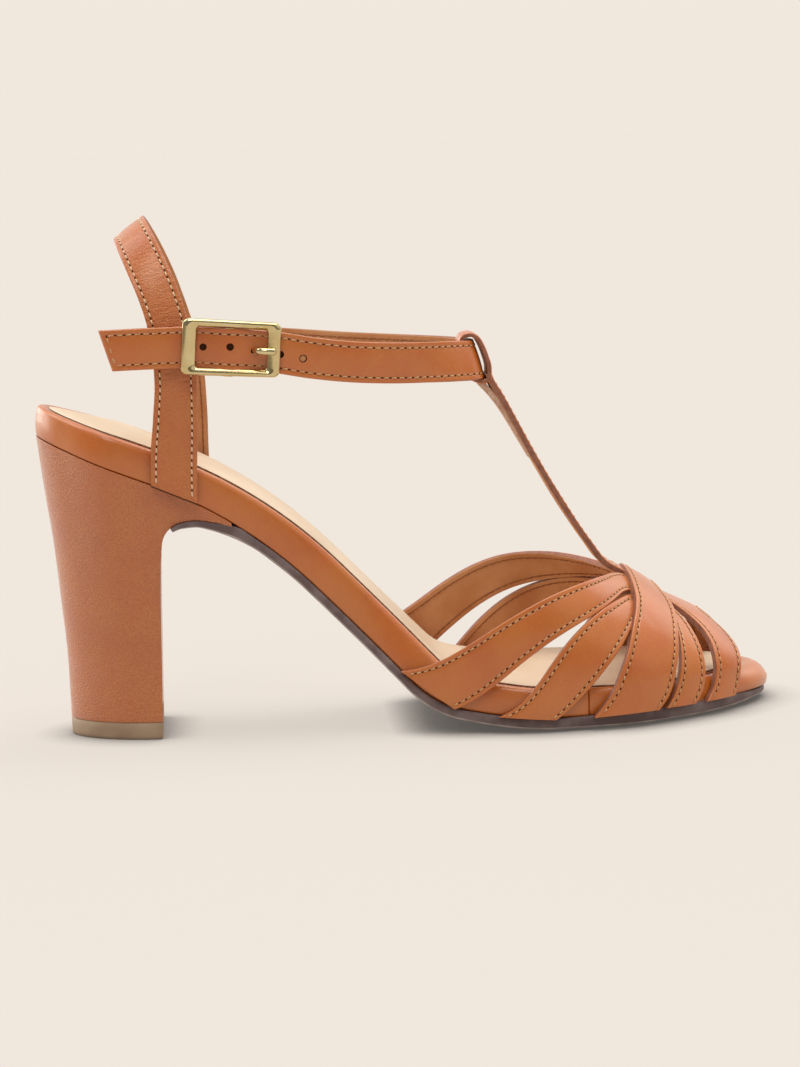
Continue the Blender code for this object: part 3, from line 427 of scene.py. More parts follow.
def outsole_rings(count=300, toe=60, columns=22):
    """Outsole as rings from the tail to the toe: the plan outline, a little proud, under the midsole. Behind the
    heel's lip it runs on between the breast's arch and the line of its tail."""
    front = SOLE_BACK + PLAN_LENGTH - OUTSOLE_TOE_INSET
    x = np.concatenate([np.linspace(TAIL[0][0], OUTSOLE_TOE, count - toe)[:-1],
                        front - (front - OUTSOLE_TOE) * np.cos(np.linspace(0.0, 0.5, toe) * np.pi)])[:, None]
    inset, share = np.array(OUTSOLE_EDGE).T
    middle = np.linspace(0.0, 1.0, columns + 2)[1:-1]
    station = np.minimum(x + OUTSOLE_TOE_INSET * ease(x, OUTSOLE_TOE, OUTSOLE_TOE + 20.0), front + 0.95)
    ends = [plan_edge(station, side) for side in (-1, 1)]
    half = np.maximum(ends[1] - ends[0], 0.2) / 2
    proud = OUTSOLE_PROUD * hump(x, *OUTSOLE_PROUD_X) * np.minimum(1.0, half / 6.0)
    reach = np.minimum(inset, half * 0.9)
    edges = [ends[0] - proud + reach, ends[1] + proud - reach]
    wide = edges[1] - edges[0]
    y = np.concatenate([edges[0][:, ::-1], edges[0][:, :1] + wide[:, :1] * middle, edges[1],
                        edges[1][:, -1:] - wide[:, -1:] * middle], axis=1)
    level = np.concatenate([share[::-1], 0 * middle, share, 0 * middle + 1])
    high = smooth(x, SOLE_LAYERS, 2) + SEAM_GAP - OUTSOLE_UNDER
    grid = sole_point(x + 0 * y, y, -OUTSOLE_UNDER - high * (1 - level))
    grid[..., 2] += OUTSOLE_RIM * ease(level, 0.5, 0.9) * hump(x, *OUTSOLE_RIM_X)
    grid[..., 2] += OUTSOLE_TOE_LIFT * (1 - level) * ease(x, *OUTSOLE_TOE_LIFT_X)
    arch = np.array(BREAST[3:-1] + tuple((at, float(sole_z(at)) - TAIL_GAP) for at in TAIL_ARCH_X))
    low_x, low_z = smooth(x, TAIL, 1), smooth(x, TAIL, 2)
    blend = ease(x, *TAIL_END_X)
    grid[..., 0] = (low_x + (x - low_x) * level) * (1 - blend) + grid[..., 0] * blend
    grid[..., 2] = (low_z + (smooth(x, arch, 1) - TAIL_GAP - low_z) * level) * (1 - blend) + grid[..., 2] * blend
    zones = np.zeros(len(level), int)
    zones[[k + len(share) for k in (-5, -4, -3, columns + 1, columns + 2, columns + 3)]] = 1
    return grid, zones


sole_rubber = two_tone("sole_rubber", SOLE_BROWN, SOLE_GREY, 150.0, mixed=(0.35, 0.7), rough=(0.5, 0.68),
                       grain=("Noise", 2600.0, 0.22), Specular_IOR_Level=0.4)
burnished = two_tone("burnished_rubber", SOLE_GREY, BURNISH, 200.0, mixed=(0.3, 0.7, 0.4, 1.0), rough=(0.4, 0.55),
                     Specular_IOR_Level=0.5)
rings, zones = outsole_rings()
outsole = skin("outsole_rubber", rings, [sole_rubber, burnished], zones, crease=55.0)
settle(outsole, "sole_rubber", "outsole")

# Heel. A block covered in the same leather, drawn tight round the back and the sides and turned in at the breast.
# Its breast is arched at the top, where the outsole's tail comes down.
HEEL_FOOT_BACK = 8.2
HEEL_FOOT_HALF = 19.0
HEEL_FOOT_ROUND = 27.0
HEEL_FOOT_POWER = 1.75
HEEL_LIP = 59.0
TOP_PIECE_HIGH = 5.1
# Share of the height, share of the way from the foot's outline to the seat's.
HEEL_FLARE = ((0.0, 0.0), (0.2, 0.03), (0.42, 0.22), (0.62, 0.43), (0.82, 0.75), (1.0, 1.0))
HEEL_GAP = 0.1
HEEL_ARCH_SHARE = 0.84
BREAST_HOLLOW = 0.35
BREAST_HOLLOW_SHARE = (0.7, 0.85)


def reach_of(points):
    """Distance along a line of points from its start to each of them."""
    return np.concatenate([[0.0], np.cumsum(np.linalg.norm(np.diff(points, axis=0), axis=1))])


def along(points, count):
    """Even steps along a smooth curve through the points."""
    length = reach_of(points)
    table = [(s, *p) for s, p in zip(length, points)]
    at = np.linspace(0.0, length[-1], count)
    return np.stack([smooth(at, table, k + 1) for k in range(len(points[0]))], axis=1)


def foot_half(x, inset=0.0):
    """Half width of the heel's foot at x: a superellipse whose sides run out to the breast."""
    past = np.clip(1 - (x - HEEL_FOOT_BACK - inset) / HEEL_FOOT_ROUND, 0.0, 1.0)
    return (HEEL_FOOT_HALF - inset) * (1 - past ** HEEL_FOOT_POWER) ** (1 / HEEL_FOOT_POWER)


def heel_side(s, q, side):
    """Point of the block's side, s from the middle of the back to the lip and q from its foot to its seat: the foot's
    outline moves to the seat's by the flare."""
    share = 1 - np.cos(s * np.pi / 2)
    seat = SOLE_BACK + (HEEL_LIP - SOLE_BACK) * share
    foot = HEEL_FOOT_BACK + (HEEL_LIP + 1 - HEEL_FOOT_BACK) * share
    flare = smooth(q, HEEL_FLARE, 1)
    half = foot_half(foot)
    low = TOP_PIECE_HIGH + HEEL_GAP
    top = sole_z(seat) - HEEL_GAP / np.cos(sole_slope(seat))
    y = side * half + (plan_edge(seat, side) - side * half) * flare
    return np.stack(np.broadcast_arrays(foot + (seat - foot) * flare, y, low + (top - low) * q), axis=-1)


def heel_rings(columns=70, across=16):
    """Block as rings from foot to seat. Each ring runs from the breast's outer edge round the back to its inner edge,
    then straight across the breast. The edges are where a side first meets the breast's curve."""
    q = np.concatenate([np.linspace(0.0, HEEL_ARCH_SHARE, 46),
                        np.linspace(HEEL_ARCH_SHARE + 0.006, 1.0, 60)])[:, None]
    s = np.linspace(0.0, 1.0, 600)[None]
    side = heel_side(s, q, -1)
    curve = along(BREAST, 400)
    clear = side[..., 2] - np.interp(side[..., 0], curve[:, 0], curve[:, 1], left=-50.0)
    hit = np.where((clear < 0).any(axis=1), (clear < 0).argmax(axis=1), s.shape[1] - 1)
    row = np.arange(len(hit))
    before = clear[row, hit - 1]
    part = np.clip(before / np.maximum(before - clear[row, hit], 1e-6), 0.0, 1.0)
    end = ((hit - 1 + part) / (s.shape[1] - 1))[:, None]
    outer = heel_side(end * np.linspace(1.0, 0.0, columns)[None], q, -1)
    inner = heel_side(end * np.linspace(0.0, 1.0, columns)[None], q, 1)
    share = np.linspace(0.0, 1.0, across + 2)[1:-1, None]
    breast = inner[:, -1:] * (1 - share) + outer[:, :1] * share
    breast[..., 0] -= BREAST_HOLLOW * (4 * share * (1 - share))[:, 0] * (1 - ease(q, *BREAST_HOLLOW_SHARE))
    return np.concatenate([outer, inner[:, 1:], breast], axis=1)


def round_edges(piece, wide, angle):
    """Bevel of the given width on the piece's edges sharper than the angle."""
    bevel = piece.modifiers.new("rounded", "BEVEL")
    bevel.width = wide / 1000
    bevel.segments = 3
    bevel.limit_method = "ANGLE"
    bevel.angle_limit = np.radians(angle)
    bevel.use_clamp_overlap = True
    bevel.harden_normals = False


heel_leather = camel_leather("heel_leather", 0.8, coat=0.8)
heel = skin("heel_cover", heel_rings(), [heel_leather], crease=180.0)
round_edges(heel, 0.45, 45.0)
settle(heel, "camel_leather", "heel")

# Top piece. The wearing piece glued under the block: a slab of olive-brown rubber, trimmed flush with the leather and
# eased at the floor.
# Edge from the floor up. Columns: z, inset.
TOP_PIECE_EDGE = ((0.0, 0.7), (0.12, 0.3), (0.45, 0.05), (1.2, 0.0), (3.0, 0.0), (4.9, 0.0), (5.12, 0.15))
TIP_OLIVE = (0.4, 0.28, 0.185, 1.0)
TIP_SHADE = (0.33, 0.22, 0.14, 1.0)


def top_piece_rings(count=48, across=14):
    """Top piece as rings from the floor up: the foot's outline from the breast round the back, and straight across."""
    rings = []
    flat = np.linspace(-1.0, 1.0, across + 2)[1:-1]
    share = 1 - np.cos(np.linspace(0, 0.5, count) * np.pi)
    for z, inset in TOP_PIECE_EDGE:
        front = smooth(z, [(b, a) for a, b in BREAST[:3]], 1) - inset
        x = HEEL_FOOT_BACK + inset + (front - HEEL_FOOT_BACK - inset) * share
        y = foot_half(x, inset)
        plan = np.concatenate([np.stack([x, -y], 1)[::-1], np.stack([x, y], 1)[1:],
                               np.stack([front + 0 * flat, -flat * y[-1]], 1)])
        rings.append(np.column_stack([plan, np.full(len(plan), z)]))
    return np.array(rings)


tip_rubber = two_tone("tip_rubber", TIP_SHADE, TIP_OLIVE, 120.0, 3.0, rough=(0.45, 0.58),
                      grain=("Noise", 2400.0, 0.12), Specular_IOR_Level=0.4)
top_piece = skin("top_piece_rubber", top_piece_rings(), [tip_rubber], crease=40.0)
settle(top_piece, "tip_rubber", "heel_top_piece")

# Fan straps. Camel leather folded over a tan lining, sewn along both long edges with pale thread. Two rear straps and
# one front strap a side tuck under the wide strap at the knot; the toe strap runs right across in front of it.
STRAP_THICK = 1.9
STRAP_FOOT_RISE = 0.7
STRAP_FOOT_RISE_X = (155.0, 180.0)
STRAP_SLACK = 0.05
FEATHER_DROP = 0.25
WALL_SHARE = 0.2
# Middle line of the foot's form. Columns: x, y.
FORM_MIDDLE = ((177.0, 0.0), (221.0, 5.0))
# Ridge over the foot. Columns: x, z of the outer face.
RIDGE = ((95.0, 175.0), (137.0, 102.9), (141.2, 97.7), (149.7, 80.7), (158.3, 65.2), (167.0, 51.4), (172.0, 45.6),
         (177.2, 42.3), (183.0, 38.4), (189.0, 34.4), (195.0, 31.2), (201.0, 28.2), (207.0, 24.0), (213.0, 18.6),
         (219.0, 14.0))
# Edges of the five straps, rear one first, as x at steps t from the ridge (0) to the feather edge (1).
FAN_STEPS = (0.0, 0.1, 0.2, 0.3, 0.4, 0.5, 0.6, 0.66, 0.72, 0.8, 0.9, 1.0)
FAN_OUTER = (
    (175.0, 175.0, 173.4, 168.5, 163.4, 157.4, 149.0, 141.6, 130.8, 116.6, 111.0, 106.6),
    (177.0, 177.0, 177.0, 176.3, 170.8, 165.7, 158.9, 153.6, 146.3, 133.8, 126.9, 121.8),
    (177.0, 177.0, 177.0, 176.3, 171.0, 166.2, 160.3, 156.4, 151.4, 145.0, 139.6, 134.4),
    (178.3, 178.6, 178.9, 178.9, 178.1, 175.8, 172.2, 169.6, 166.5, 160.7, 156.2, 151.2),
    (178.3, 178.6, 178.9, 178.9, 178.1, 176.5, 174.6, 173.3, 171.7, 169.3, 166.5, 163.0),
    (187.5, 188.0, 189.4, 190.1, 189.9, 189.4, 188.8, 188.2, 187.5, 186.5, 184.8, 181.8),
    (187.5, 188.0, 189.4, 190.1, 190.3, 190.5, 190.4, 190.1, 189.7, 189.0, 187.4, 184.8),
    (187.5, 188.0, 189.4, 193.2, 195.4, 196.8, 197.6, 197.8, 197.8, 197.6, 196.8, 194.4),
    (184.0, 187.0, 193.9, 197.6, 199.8, 201.0, 201.5, 201.6, 201.7, 201.4, 200.4, 198.0),
    (201.8, 202.8, 206.3, 208.5, 209.8, 210.4, 210.5, 210.4, 210.3, 210.0, 209.5, 207.8),
)
FAN_INNER = (
    (175.0, 175.0, 174.0, 168.2, 162.8, 155.6, 144.4, 132.4, 121.8, 111.0, 105.8, 101.2),
    (177.0, 177.0, 177.0, 176.4, 170.4, 163.4, 154.2, 147.0, 136.8, 121.0, 116.8, 113.2),
    (177.0, 177.0, 177.0, 176.4, 170.4, 163.8, 155.6, 149.2, 139.6, 128.2, 124.4, 120.8),
    (178.3, 178.6, 178.9, 178.9, 177.6, 174.0, 168.0, 164.0, 158.6, 150.4, 145.6, 141.0),
    (178.3, 178.6, 178.9, 178.9, 178.1, 176.6, 174.2, 172.4, 170.4, 167.4, 164.0, 160.0),
    (187.5, 188.0, 189.4, 190.1, 189.9, 189.4, 188.8, 188.2, 187.5, 186.5, 184.8, 181.8),
    (187.5, 188.0, 189.4, 190.1, 190.8, 191.2, 191.4, 191.3, 191.1, 190.6, 189.2, 186.8),
    (187.5, 188.0, 189.4, 193.4, 196.2, 198.2, 199.4, 199.8, 200.0, 199.8, 199.0, 196.8),
    (184.0, 187.0, 193.9, 197.8, 200.4, 202.2, 203.4, 203.8, 203.9, 203.7, 203.0, 200.8),
    (201.8, 202.8, 206.3, 208.8, 210.6, 211.7, 212.3, 212.6, 212.6, 212.5, 212.1, 210.8),
)
# Where the tucked straps end under the wide strap. Columns: strap, t where its rear and front edge leave the table,
# then x and t of the two hidden ends, and how far the hidden end dips.
TUCKS = ((0, 0.2, 0.32, 183.0, 0.03, 183.5, 0.2, 0.7), (1, 0.4, 0.5, 183.0, 0.2, 184.5, 0.34, 1.3),
         (3, 0.4, 0.3, 184.5, 0.27, 184.5, 0.12, 0.7))
TUCK_DIP = (0.62, 0.97)
RUNG_STRAIGHT = (0.4, 0.62)
# Rows of a tucked strap and of the toe strap's rear edge, from a foot, along which the seam shows.
TUCK_SEWN = 102
TOE_SEWN = 108
FAIR_LEAD = 0.15
FAIR_HOLD = 6.0
SEW_INSET = 1.65
SEW_DEEP = 0.16
# Sewing trough. Columns: distance from the thread's line, share of the depth.
SEW_TROUGH = ((-0.62, 0.0), (-0.38, 0.25), (-0.17, 0.8), (0.0, 1.0), (0.17, 0.8), (0.38, 0.25), (0.62, 0.0))
SEW_COLUMNS = (9, 27)
SEW_NARROW = 5.2
# Slow ripples that keep the leather from looking cast. Columns: length along, length across, start.
RIPPLES = ((5.3, 9.0, 0.0), (8.9, 5.0, 1.0))
EDGE_ROUND = 0.4
LINING_ROUND = 0.35
PILLOW = 0.16
STITCH_PITCH = 2.2
THREAD_WIDE = 0.48
THREAD_REACH = 0.33
THREAD_ARCH = 0.3
THREAD_SINK = 0.1
THREAD_SLANT = 0.06
NEEDLE_LONG = 0.88
NEEDLE_WIDE = 0.5
NEEDLE_HIGH = 0.1
EDGE_RED = (0.34, 0.14, 0.085, 1.0)
EDGE_DARK = (0.24, 0.09, 0.055, 1.0)
LINING_TAN = (0.48, 0.19, 0.07, 1.0)
LINING_PALE = (0.6, 0.29, 0.13, 1.0)
THREAD_TAN = (0.52, 0.26, 0.11, 1.0)
THREAD_PALE = (0.66, 0.41, 0.21, 1.0)
# Dark brown mixed into the lining's thread: painted shade of its stitches and holes.
THREAD_SHADE = (0.16, 0.055, 0.025, 1.0)
# Painted shade of holes: near-black browns.
HOLE_SHADE_DARK = (0.06, 0.02, 0.009, 1.0)
HOLE_SHADE_BROWN = (0.1, 0.034, 0.015, 1.0)


def foot_levels(x):
    """Heights at x of the straps' feather edge, of the midsole's top beside it and of the ridge."""
    foot = sole_z(x) + TREAD_CAMBER * ease(x, *CAMBER_X) + STRAP_FOOT_RISE * ease(x, *STRAP_FOOT_RISE_X)
    return foot, foot + midsole_thick(x) / np.cos(sole_slope(x)), smooth(x, RIDGE, 1)


def vamp(x, t, lift=0.0):
    """Outer face of the straps over the foot. In the section at x, t runs from -1 at the outer feather edge over 0 on
    the ridge to 1 at the inner edge: straight up past the midsole, then half an ellipse."""
    x, t, lift = np.broadcast_arrays(np.asarray(x, float), np.asarray(t, float), lift)
    side = np.where(t < 0, -1.0, 1.0)
    out = SEAM_GAP + STRAP_SLACK + STRAP_THICK + lift
    edge = np.where(t < 0, plan_edge(x, -1, out), plan_edge(x, 1, out))
    middle = np.interp(x, *np.transpose(FORM_MIDDLE))
    foot, top, crest = foot_levels(x)
    crest = crest + lift
    turn = np.pi / 2 * np.clip(np.abs(t) / (1 - WALL_SHARE), 0.0, 1.0)
    drop = np.clip((np.abs(t) - 1 + WALL_SHARE) / WALL_SHARE, 0.0, 1.0)
    y = middle + side * np.abs(edge - middle) * np.sin(turn)
    return np.stack([x, y, top + (crest - top) * np.cos(turn) - (top - foot + FEATHER_DROP) * drop], axis=-1)


def even(points, count):
    """Row numbers, in parts, that step evenly along a line of points."""
    length = reach_of(points)
    return np.interp(np.linspace(0.0, length[-1], count), length, np.arange(len(points)))


def pick(line, at):
    """Values of a line of points at row numbers in parts."""
    return np.stack([np.interp(at, np.arange(len(line)), line[:, k]) for k in range(line.shape[1])], axis=1)


def step_at(x, z):
    """Step t at which the foot's form has the height z at x."""
    foot, top, crest = foot_levels(x)
    turn = np.arccos(np.clip((z - top) / (crest - top), 0.0, 1.0)) / (np.pi / 2)
    return (1 - WALL_SHARE) * turn + WALL_SHARE * np.clip((top - z) / (top - foot + FEATHER_DROP), 0.0, 1.0)


def fair(edge_row, leave):
    """Strap edge as (x, t) from the feather edge to where it leaves the table, drawn like a batten in the side view:
    curves of the fourth degree, in the length along it, that pass near the table's points and hold its ends."""
    t = np.array(FAN_STEPS[::-1])
    used = t > leave - FAIR_LEAD
    x = np.array(edge_row[::-1])[used]
    z = vamp(x, t[used])[:, 2]
    length = reach_of(np.stack([x, z], axis=1))
    hold = np.concatenate([[FAIR_HOLD], np.ones(len(x) - 2), [FAIR_HOLD]])
    at = np.linspace(0.0, length[-1], 160)
    x, z = (np.polyval(np.polyfit(length, values, 4, w=hold), at) for values in (x, z))
    t = step_at(x, z)
    return np.stack([x, t], axis=1)[t >= leave]


def tucked_edge(edge_row, side, leave, end_x, end_t, count):
    """One edge of a tucked strap as (x, t): up its fair curve from the feather edge, then a curve of the second degree
    that keeps its direction to the hidden end. Steps are even along the foot."""
    line = fair(edge_row, leave)
    lead = line[-1] - line[-6]
    bend = line[-1] + lead * np.clip((end_x - line[-1, 0]) * 0.5 / (lead[0] if abs(lead[0]) > 1e-6 else 1e-6), 0.0,
                                     (line[-1, 1] - end_t) * 0.7 / max(-lead[1], 1e-6))
    w = np.linspace(0.0, 1.0, 60)[1:, None]
    tail = line[-1] * (1 - w) ** 2 + 2 * bend * w * (1 - w) + np.array([end_x, end_t]) * w ** 2
    line = np.concatenate([line, tail])
    return pick(line, even(vamp(line[:, 0], side * line[:, 1]), count))


def section(wide, thick):
    """Section of a sewn strap as shares across and depths, a column a point: over the rounded face with its two
    sewing troughs, down the front edge, back along the lining and up the rear edge. Also each column's zone."""
    wide = wide[:, None]
    scale = np.minimum(1.0, wide / SEW_NARROW)
    turn = np.linspace(0.0, np.pi / 2, 6)
    trough, dip = np.transpose(SEW_TROUGH)
    rim = np.concatenate([EDGE_ROUND * (1 - np.cos(turn)), SEW_INSET + trough]) * scale / wide
    rim_deep = np.concatenate([EDGE_ROUND * (1 - np.sin(turn)), SEW_DEEP * dip])
    gap = 1 - 2 * rim[:, -1:]
    middle = rim[:, -1:] + gap * np.linspace(0.0, 1.0, 10)[1:-1]
    pillow = -PILLOW * np.sin(np.linspace(0.0, np.pi, 10)[1:-1]) ** 0.7
    low_turn = np.linspace(0.0, np.pi / 2, 4)
    hem = LINING_ROUND * (1 - np.cos(low_turn)) * scale / wide
    hem_deep = thick - LINING_ROUND * (1 - np.sin(low_turn))
    flat = np.linspace(1.0, 0.0, 9)[1:-1]
    walls = np.array([0.45, 0.6]) * thick
    share = np.concatenate([rim, middle, 1 - rim[:, ::-1], 0 * scale + np.ones(2), 1 - hem,
                            hem[:, -1:] + (1 - 2 * hem[:, -1:]) * flat, hem[:, ::-1], 0 * scale + np.zeros(2)], axis=1)
    deep = np.concatenate([rim_deep, pillow, rim_deep[::-1], walls, hem_deep, 0 * flat + thick, hem_deep[::-1],
                           walls[::-1]])
    face = len(rim_deep) * 2 + len(pillow)
    zone = np.ones(len(deep), int)
    zone[1:face - 2] = 0
    zone[face + 3:-4] = 2
    return share, deep, zone


def unit(vectors):
    """Vectors scaled to length one."""
    return vectors / np.maximum(np.linalg.norm(vectors, axis=-1, keepdims=True), 1e-9)


def sewn_strap(face, count, inside, wide=None, tips=(0.0, 0.0), thick=STRAP_THICK, loop=False, wave=0.0, creases=()):
    """Strap whose outer face is given by face(shares across, a row for each of count steps along). Returns its grid of
    points, its run, its zones and its two sewing lines as (points, normals). inside is a point that the lining faces,
    wide its width if not the face's own, tips the rounding of its two ends, wave the depth of its ripples, and creases
    are soft troughs in the face: (along, across, turn in degrees, half length, half width, depth)."""
    ends = face(np.tile([0.0, 1.0], (count, 1)))
    wide = np.linalg.norm(ends[:, 1] - ends[:, 0], axis=1) if wide is None else np.full(count, wide)
    share, deep, zone = section(wide, thick)

    def normal(at):
        points = face(at)
        run = np.roll(points, -1, 0) - np.roll(points, 1, 0) if loop else np.gradient(points, axis=0)
        over = face(np.clip(at + 0.03, 0.0, 1.0)) - face(np.clip(at - 0.03, 0.0, 1.0))
        made = unit(np.cross(run, over))
        return points, made * np.sign((made * (points - inside)).sum(axis=-1).mean())

    points, out = normal(share)
    length = reach_of(face(np.full((count, 1), 0.5))[:, 0])
    deep = np.tile(deep, (count, 1))
    for reach, tip in ((length, tips[0]), (length[-1] - length, tips[1])):
        if tip:
            past = np.clip(1 - reach / tip, 0.0, 1.0)[:, None]
            eased = tip * (1 - np.sqrt(1 - past ** 2))
            deep = deep + np.where(deep < thick / 2, 1.0, -0.6) * np.minimum(eased, thick * 0.45)
    across = share * wide[:, None]
    for at, over, angle, half_long, half_wide, drop in creases:
        u, v = length[:, None] - at, across - over
        square = u * np.cos(np.radians(angle)) + v * np.sin(np.radians(angle))
        onward = v * np.cos(np.radians(angle)) - u * np.sin(np.radians(angle))
        trough = drop * np.exp(-(square / half_wide) ** 2 - (onward / half_long) ** 2)
        deep = deep + trough * (deep < thick * 0.3)
    ripple = wave * np.prod([np.sin(length[:, None] / a + b + across / c) for a, c, b in RIPPLES], axis=0)
    deep = deep + ripple
    run = np.stack([np.broadcast_to(length[:, None], share.shape), across, deep], axis=-1)
    lines = []
    inset = SEW_INSET * np.minimum(1.0, wide / SEW_NARROW) / wide
    for at, column in zip((inset, 1 - inset), SEW_COLUMNS):
        line, up = (found[:, 0] for found in normal(at[:, None]))
        lines.append((line - up * (SEW_DEEP + ripple[:, column:column + 1]), up))
    return points - out * deep[..., None], run, zone, lines


def behind(lines):
    """Sewing lines carried through to the lining."""
    return [(line - up * (STRAP_THICK - SEW_DEEP), -up) for line, up in lines]


def trim(lines, first, last):
    """Sewing lines from one row to another."""
    return [(line[first:last], up[first:last]) for line, up in lines]


def circle(count):
    """Angles of a full turn in even steps."""
    return np.linspace(0.0, 2 * np.pi, count, endpoint=False)


def stitches(name, lines, pitch=STITCH_PITCH, finish=None):
    """Running stitches along sewing lines as one mesh. Each is a short thread that comes up out of one needle hole,
    lies in the trough and goes down the next: rings of six points on an arc. A dark disc of painted shade is each hole."""
    places = []
    for line, up in lines:
        length = reach_of(line)
        count = max(int(round(length[-1] / pitch)), 1)
        at = np.interp((np.arange(count) + 0.5) * length[-1] / count, length, np.arange(len(line)))
        step = 0.5 * len(line) / max(length[-1], 1e-6)
        onward = unit(pick(line, at + step) - pick(line, at - step))
        normal = pick(up, at)
        normal = unit(normal - onward * (normal * onward).sum(axis=1)[:, None])
        places.append(np.stack([pick(line, at), onward, normal, np.cross(normal, onward)], axis=1))
    places = np.concatenate(places)
    a, turn = np.linspace(-1.0, 1.0, 7)[:, None], circle(6)[None]
    half = THREAD_WIDE / 2 * (1 - 0.45 * np.abs(a) ** 4)
    high = THREAD_ARCH * np.sqrt(np.clip(1.04 - a * a, 0.0, 1.0)) - THREAD_SINK + half * np.sin(turn) * 0.8
    thread = np.stack([a * pitch * THREAD_REACH + 0 * turn, high, half * np.cos(turn) + THREAD_SLANT * a], axis=-1)
    turn = circle(8)
    hole = np.stack([pitch / 2 + NEEDLE_LONG / 2 * np.cos(turn), NEEDLE_HIGH + 0 * turn,
                     NEEDLE_WIDE / 2 * np.sin(turn)], axis=-1)
    template = np.concatenate([thread.reshape(-1, 3), hole])
    points = places[:, 0, None] + np.einsum("va,kac->kvc", template, places[:, 1:])
    shift = (np.arange(len(places)) * len(template))[:, None]
    ring = np.arange(thread.size // 3).reshape(thread.shape[:2])
    disc = np.arange(len(hole)) + ring.size
    quads = (quads_of(ring[:-1], ring[1:])[None] + shift[..., None]).reshape(-1, 4).tolist()
    ends = [face for row in (ring[0][::-1], ring[-1], disc) for face in (shift + row).tolist()]
    mesh = bpy.data.meshes.new(name)
    mesh.from_pydata((points.reshape(-1, 3) - ORIGIN) / 1000, [], quads + ends)
    mesh.polygons.foreach_set("material_index", [0] * (len(quads) + 2 * len(places)) + [1] * len(places))
    settle(put(name, mesh, finish or (sewing_thread, needle_hole_shade)), "camel_leather")


def lay(name, strap, node="upper", finish=None, loop=False):
    """Sewn strap as a piece that stands for a node. Returns its sewing lines."""
    grid, run, zone, lines = strap
    settle(skin(name, grid, finish or strap_finish, zone, loop=loop, run=run), "camel_leather", node)
    return lines


def fan_strap(row, side, leave_rear, leave_front, rear_x, rear_t, front_x, front_t, dip, count=110):
    """Tucked strap: rungs between its two edges on the foot's form, straight in the side view low down and in steps
    higher up, dipping under the wide strap at the knot."""
    table = FAN_OUTER if side < 0 else FAN_INNER
    rear = tucked_edge(table[2 * row], side, leave_rear, rear_x, rear_t, count)
    front = tucked_edge(table[2 * row + 1], side, leave_front, front_x, front_t, count)
    down = -dip * ease(np.linspace(0.0, 1.0, count), *TUCK_DIP)[:, None]
    rear_z, front_z = (vamp(line[:, 0], line[:, 1])[:, 2:] for line in (rear, front))

    def face(share):
        x, t = (rear[:, None] + (front - rear)[:, None] * share[..., None]).transpose(2, 0, 1)
        straight = step_at(x, rear_z + (front_z - rear_z) * share)
        return vamp(x, side * (t + (straight - t) * ease(t, *RUNG_STRAIGHT)), down)

    return sewn_strap(face, count, inside=(165.0, 0.0, 15.0), wave=0.05)


def cross_strap(row, lift, out, count=260, **more):
    """Strap that runs right across the foot, from feather edge to feather edge, at steps even along it. lift gives its
    height over the form at each step, and out widens it at both edges."""
    t = np.linspace(-1.0, 1.0, 801)
    rear, front = (np.where(t < 0, *(smooth(np.abs(t), list(zip(FAN_STEPS, table[edge])), 1)
                                     for table in (FAN_OUTER, FAN_INNER))) for edge in (2 * row, 2 * row + 1))
    line = np.stack([rear - out, front + out, t], axis=1)
    rear, front, t = pick(line, even(vamp((line[:, 0] + line[:, 1]) / 2, t), count)).T[..., None]

    def face(share):
        return vamp(rear + (front - rear) * share, t, lift(t))

    return sewn_strap(face, count, inside=(185.0, 0.0, 5.0), wave=0.05, **more)


strap_leather = camel_leather("strap_leather", 0.14, 0.1)
edge_paint, tree, shader = finish_of("edge_paint", Specular_IOR_Level=0.4)
fibre = noise(tree, link(tree, "ShaderNodeTexCoord").outputs["Object"], 700.0, 3.0)
tree.links.new(mix(tree, span(tree, fibre, 0.3, 0.7), EDGE_DARK, EDGE_RED), shader.inputs["Base Color"])
tree.links.new(span(tree, fibre, 0.3, 0.7, 0.45, 0.65), shader.inputs["Roughness"])
tree.links.new(relief(tree, fibre, 0.25, 0.0002), shader.inputs["Normal"])
lining_leather = two_tone("lining_leather", LINING_TAN, LINING_PALE, 70.0, 3.0, rough=(0.55, 0.7),
                          Specular_IOR_Level=0.3)
tree = lining_leather.node_tree
tree.links.new(relief(tree, fine_creases(tree, 1.5, 0.2, 0.5), 0.22, 0.0005),
               tree.nodes["Principled BSDF"].inputs["Normal"])
sewing_thread = two_tone("sewing_thread", THREAD_TAN, THREAD_PALE, 1800.0, Roughness=0.55, Specular_IOR_Level=0.3)
# Painted shade for holes: dark discs at the needle holes, the punched holes' walls, the discs in them and the lines
# under the heel strap's feet.
needle_hole_shade = two_tone("needle_hole_shade", HOLE_SHADE_DARK, HOLE_SHADE_BROWN, 1200.0, 1.0, None, Roughness=0.8, Specular_IOR_Level=0.1)
# Lining stitches: tan partly darkened with painted shade of their troughs and holes.
lining_thread_shade = two_tone("lining_thread_shade", LINING_TAN, THREAD_SHADE, 1500.0, 2.0, None, Roughness=0.6,
                         Specular_IOR_Level=0.2)
strap_finish = [strap_leather, edge_paint, lining_leather]

fan_lines = []
for side, word in ((-1, "outer"), (1, "inner")):
    for tuck, place in zip(TUCKS, ("rear", "second", "fourth")):
        lines = lay(f"{word}_{place}_strap", fan_strap(tuck[0], side, *tuck[1:]))
        fan_lines += trim(lines, 1, TUCK_SEWN)
rear, front = lay("toe_strap", cross_strap(4, lambda t: 0.0 * t, 0.0))
fan_lines += trim([rear], 3, TOE_SEWN) + trim([rear], -TOE_SEWN, -3) + trim([front], 3, -3)

# Wide strap. The widest strap of the fan, laid over the knot so that the ends of the others and of the instep strap
# are hidden. It stands a leather's thickness higher than they do.
SADDLE_LIFT = 1.4
SADDLE_FOOT_LIFT = 0.9
SADDLE_FALL = (0.4, 0.9)
SADDLE_OVERHANG = 0.6
SADDLE_THICK = 2.8
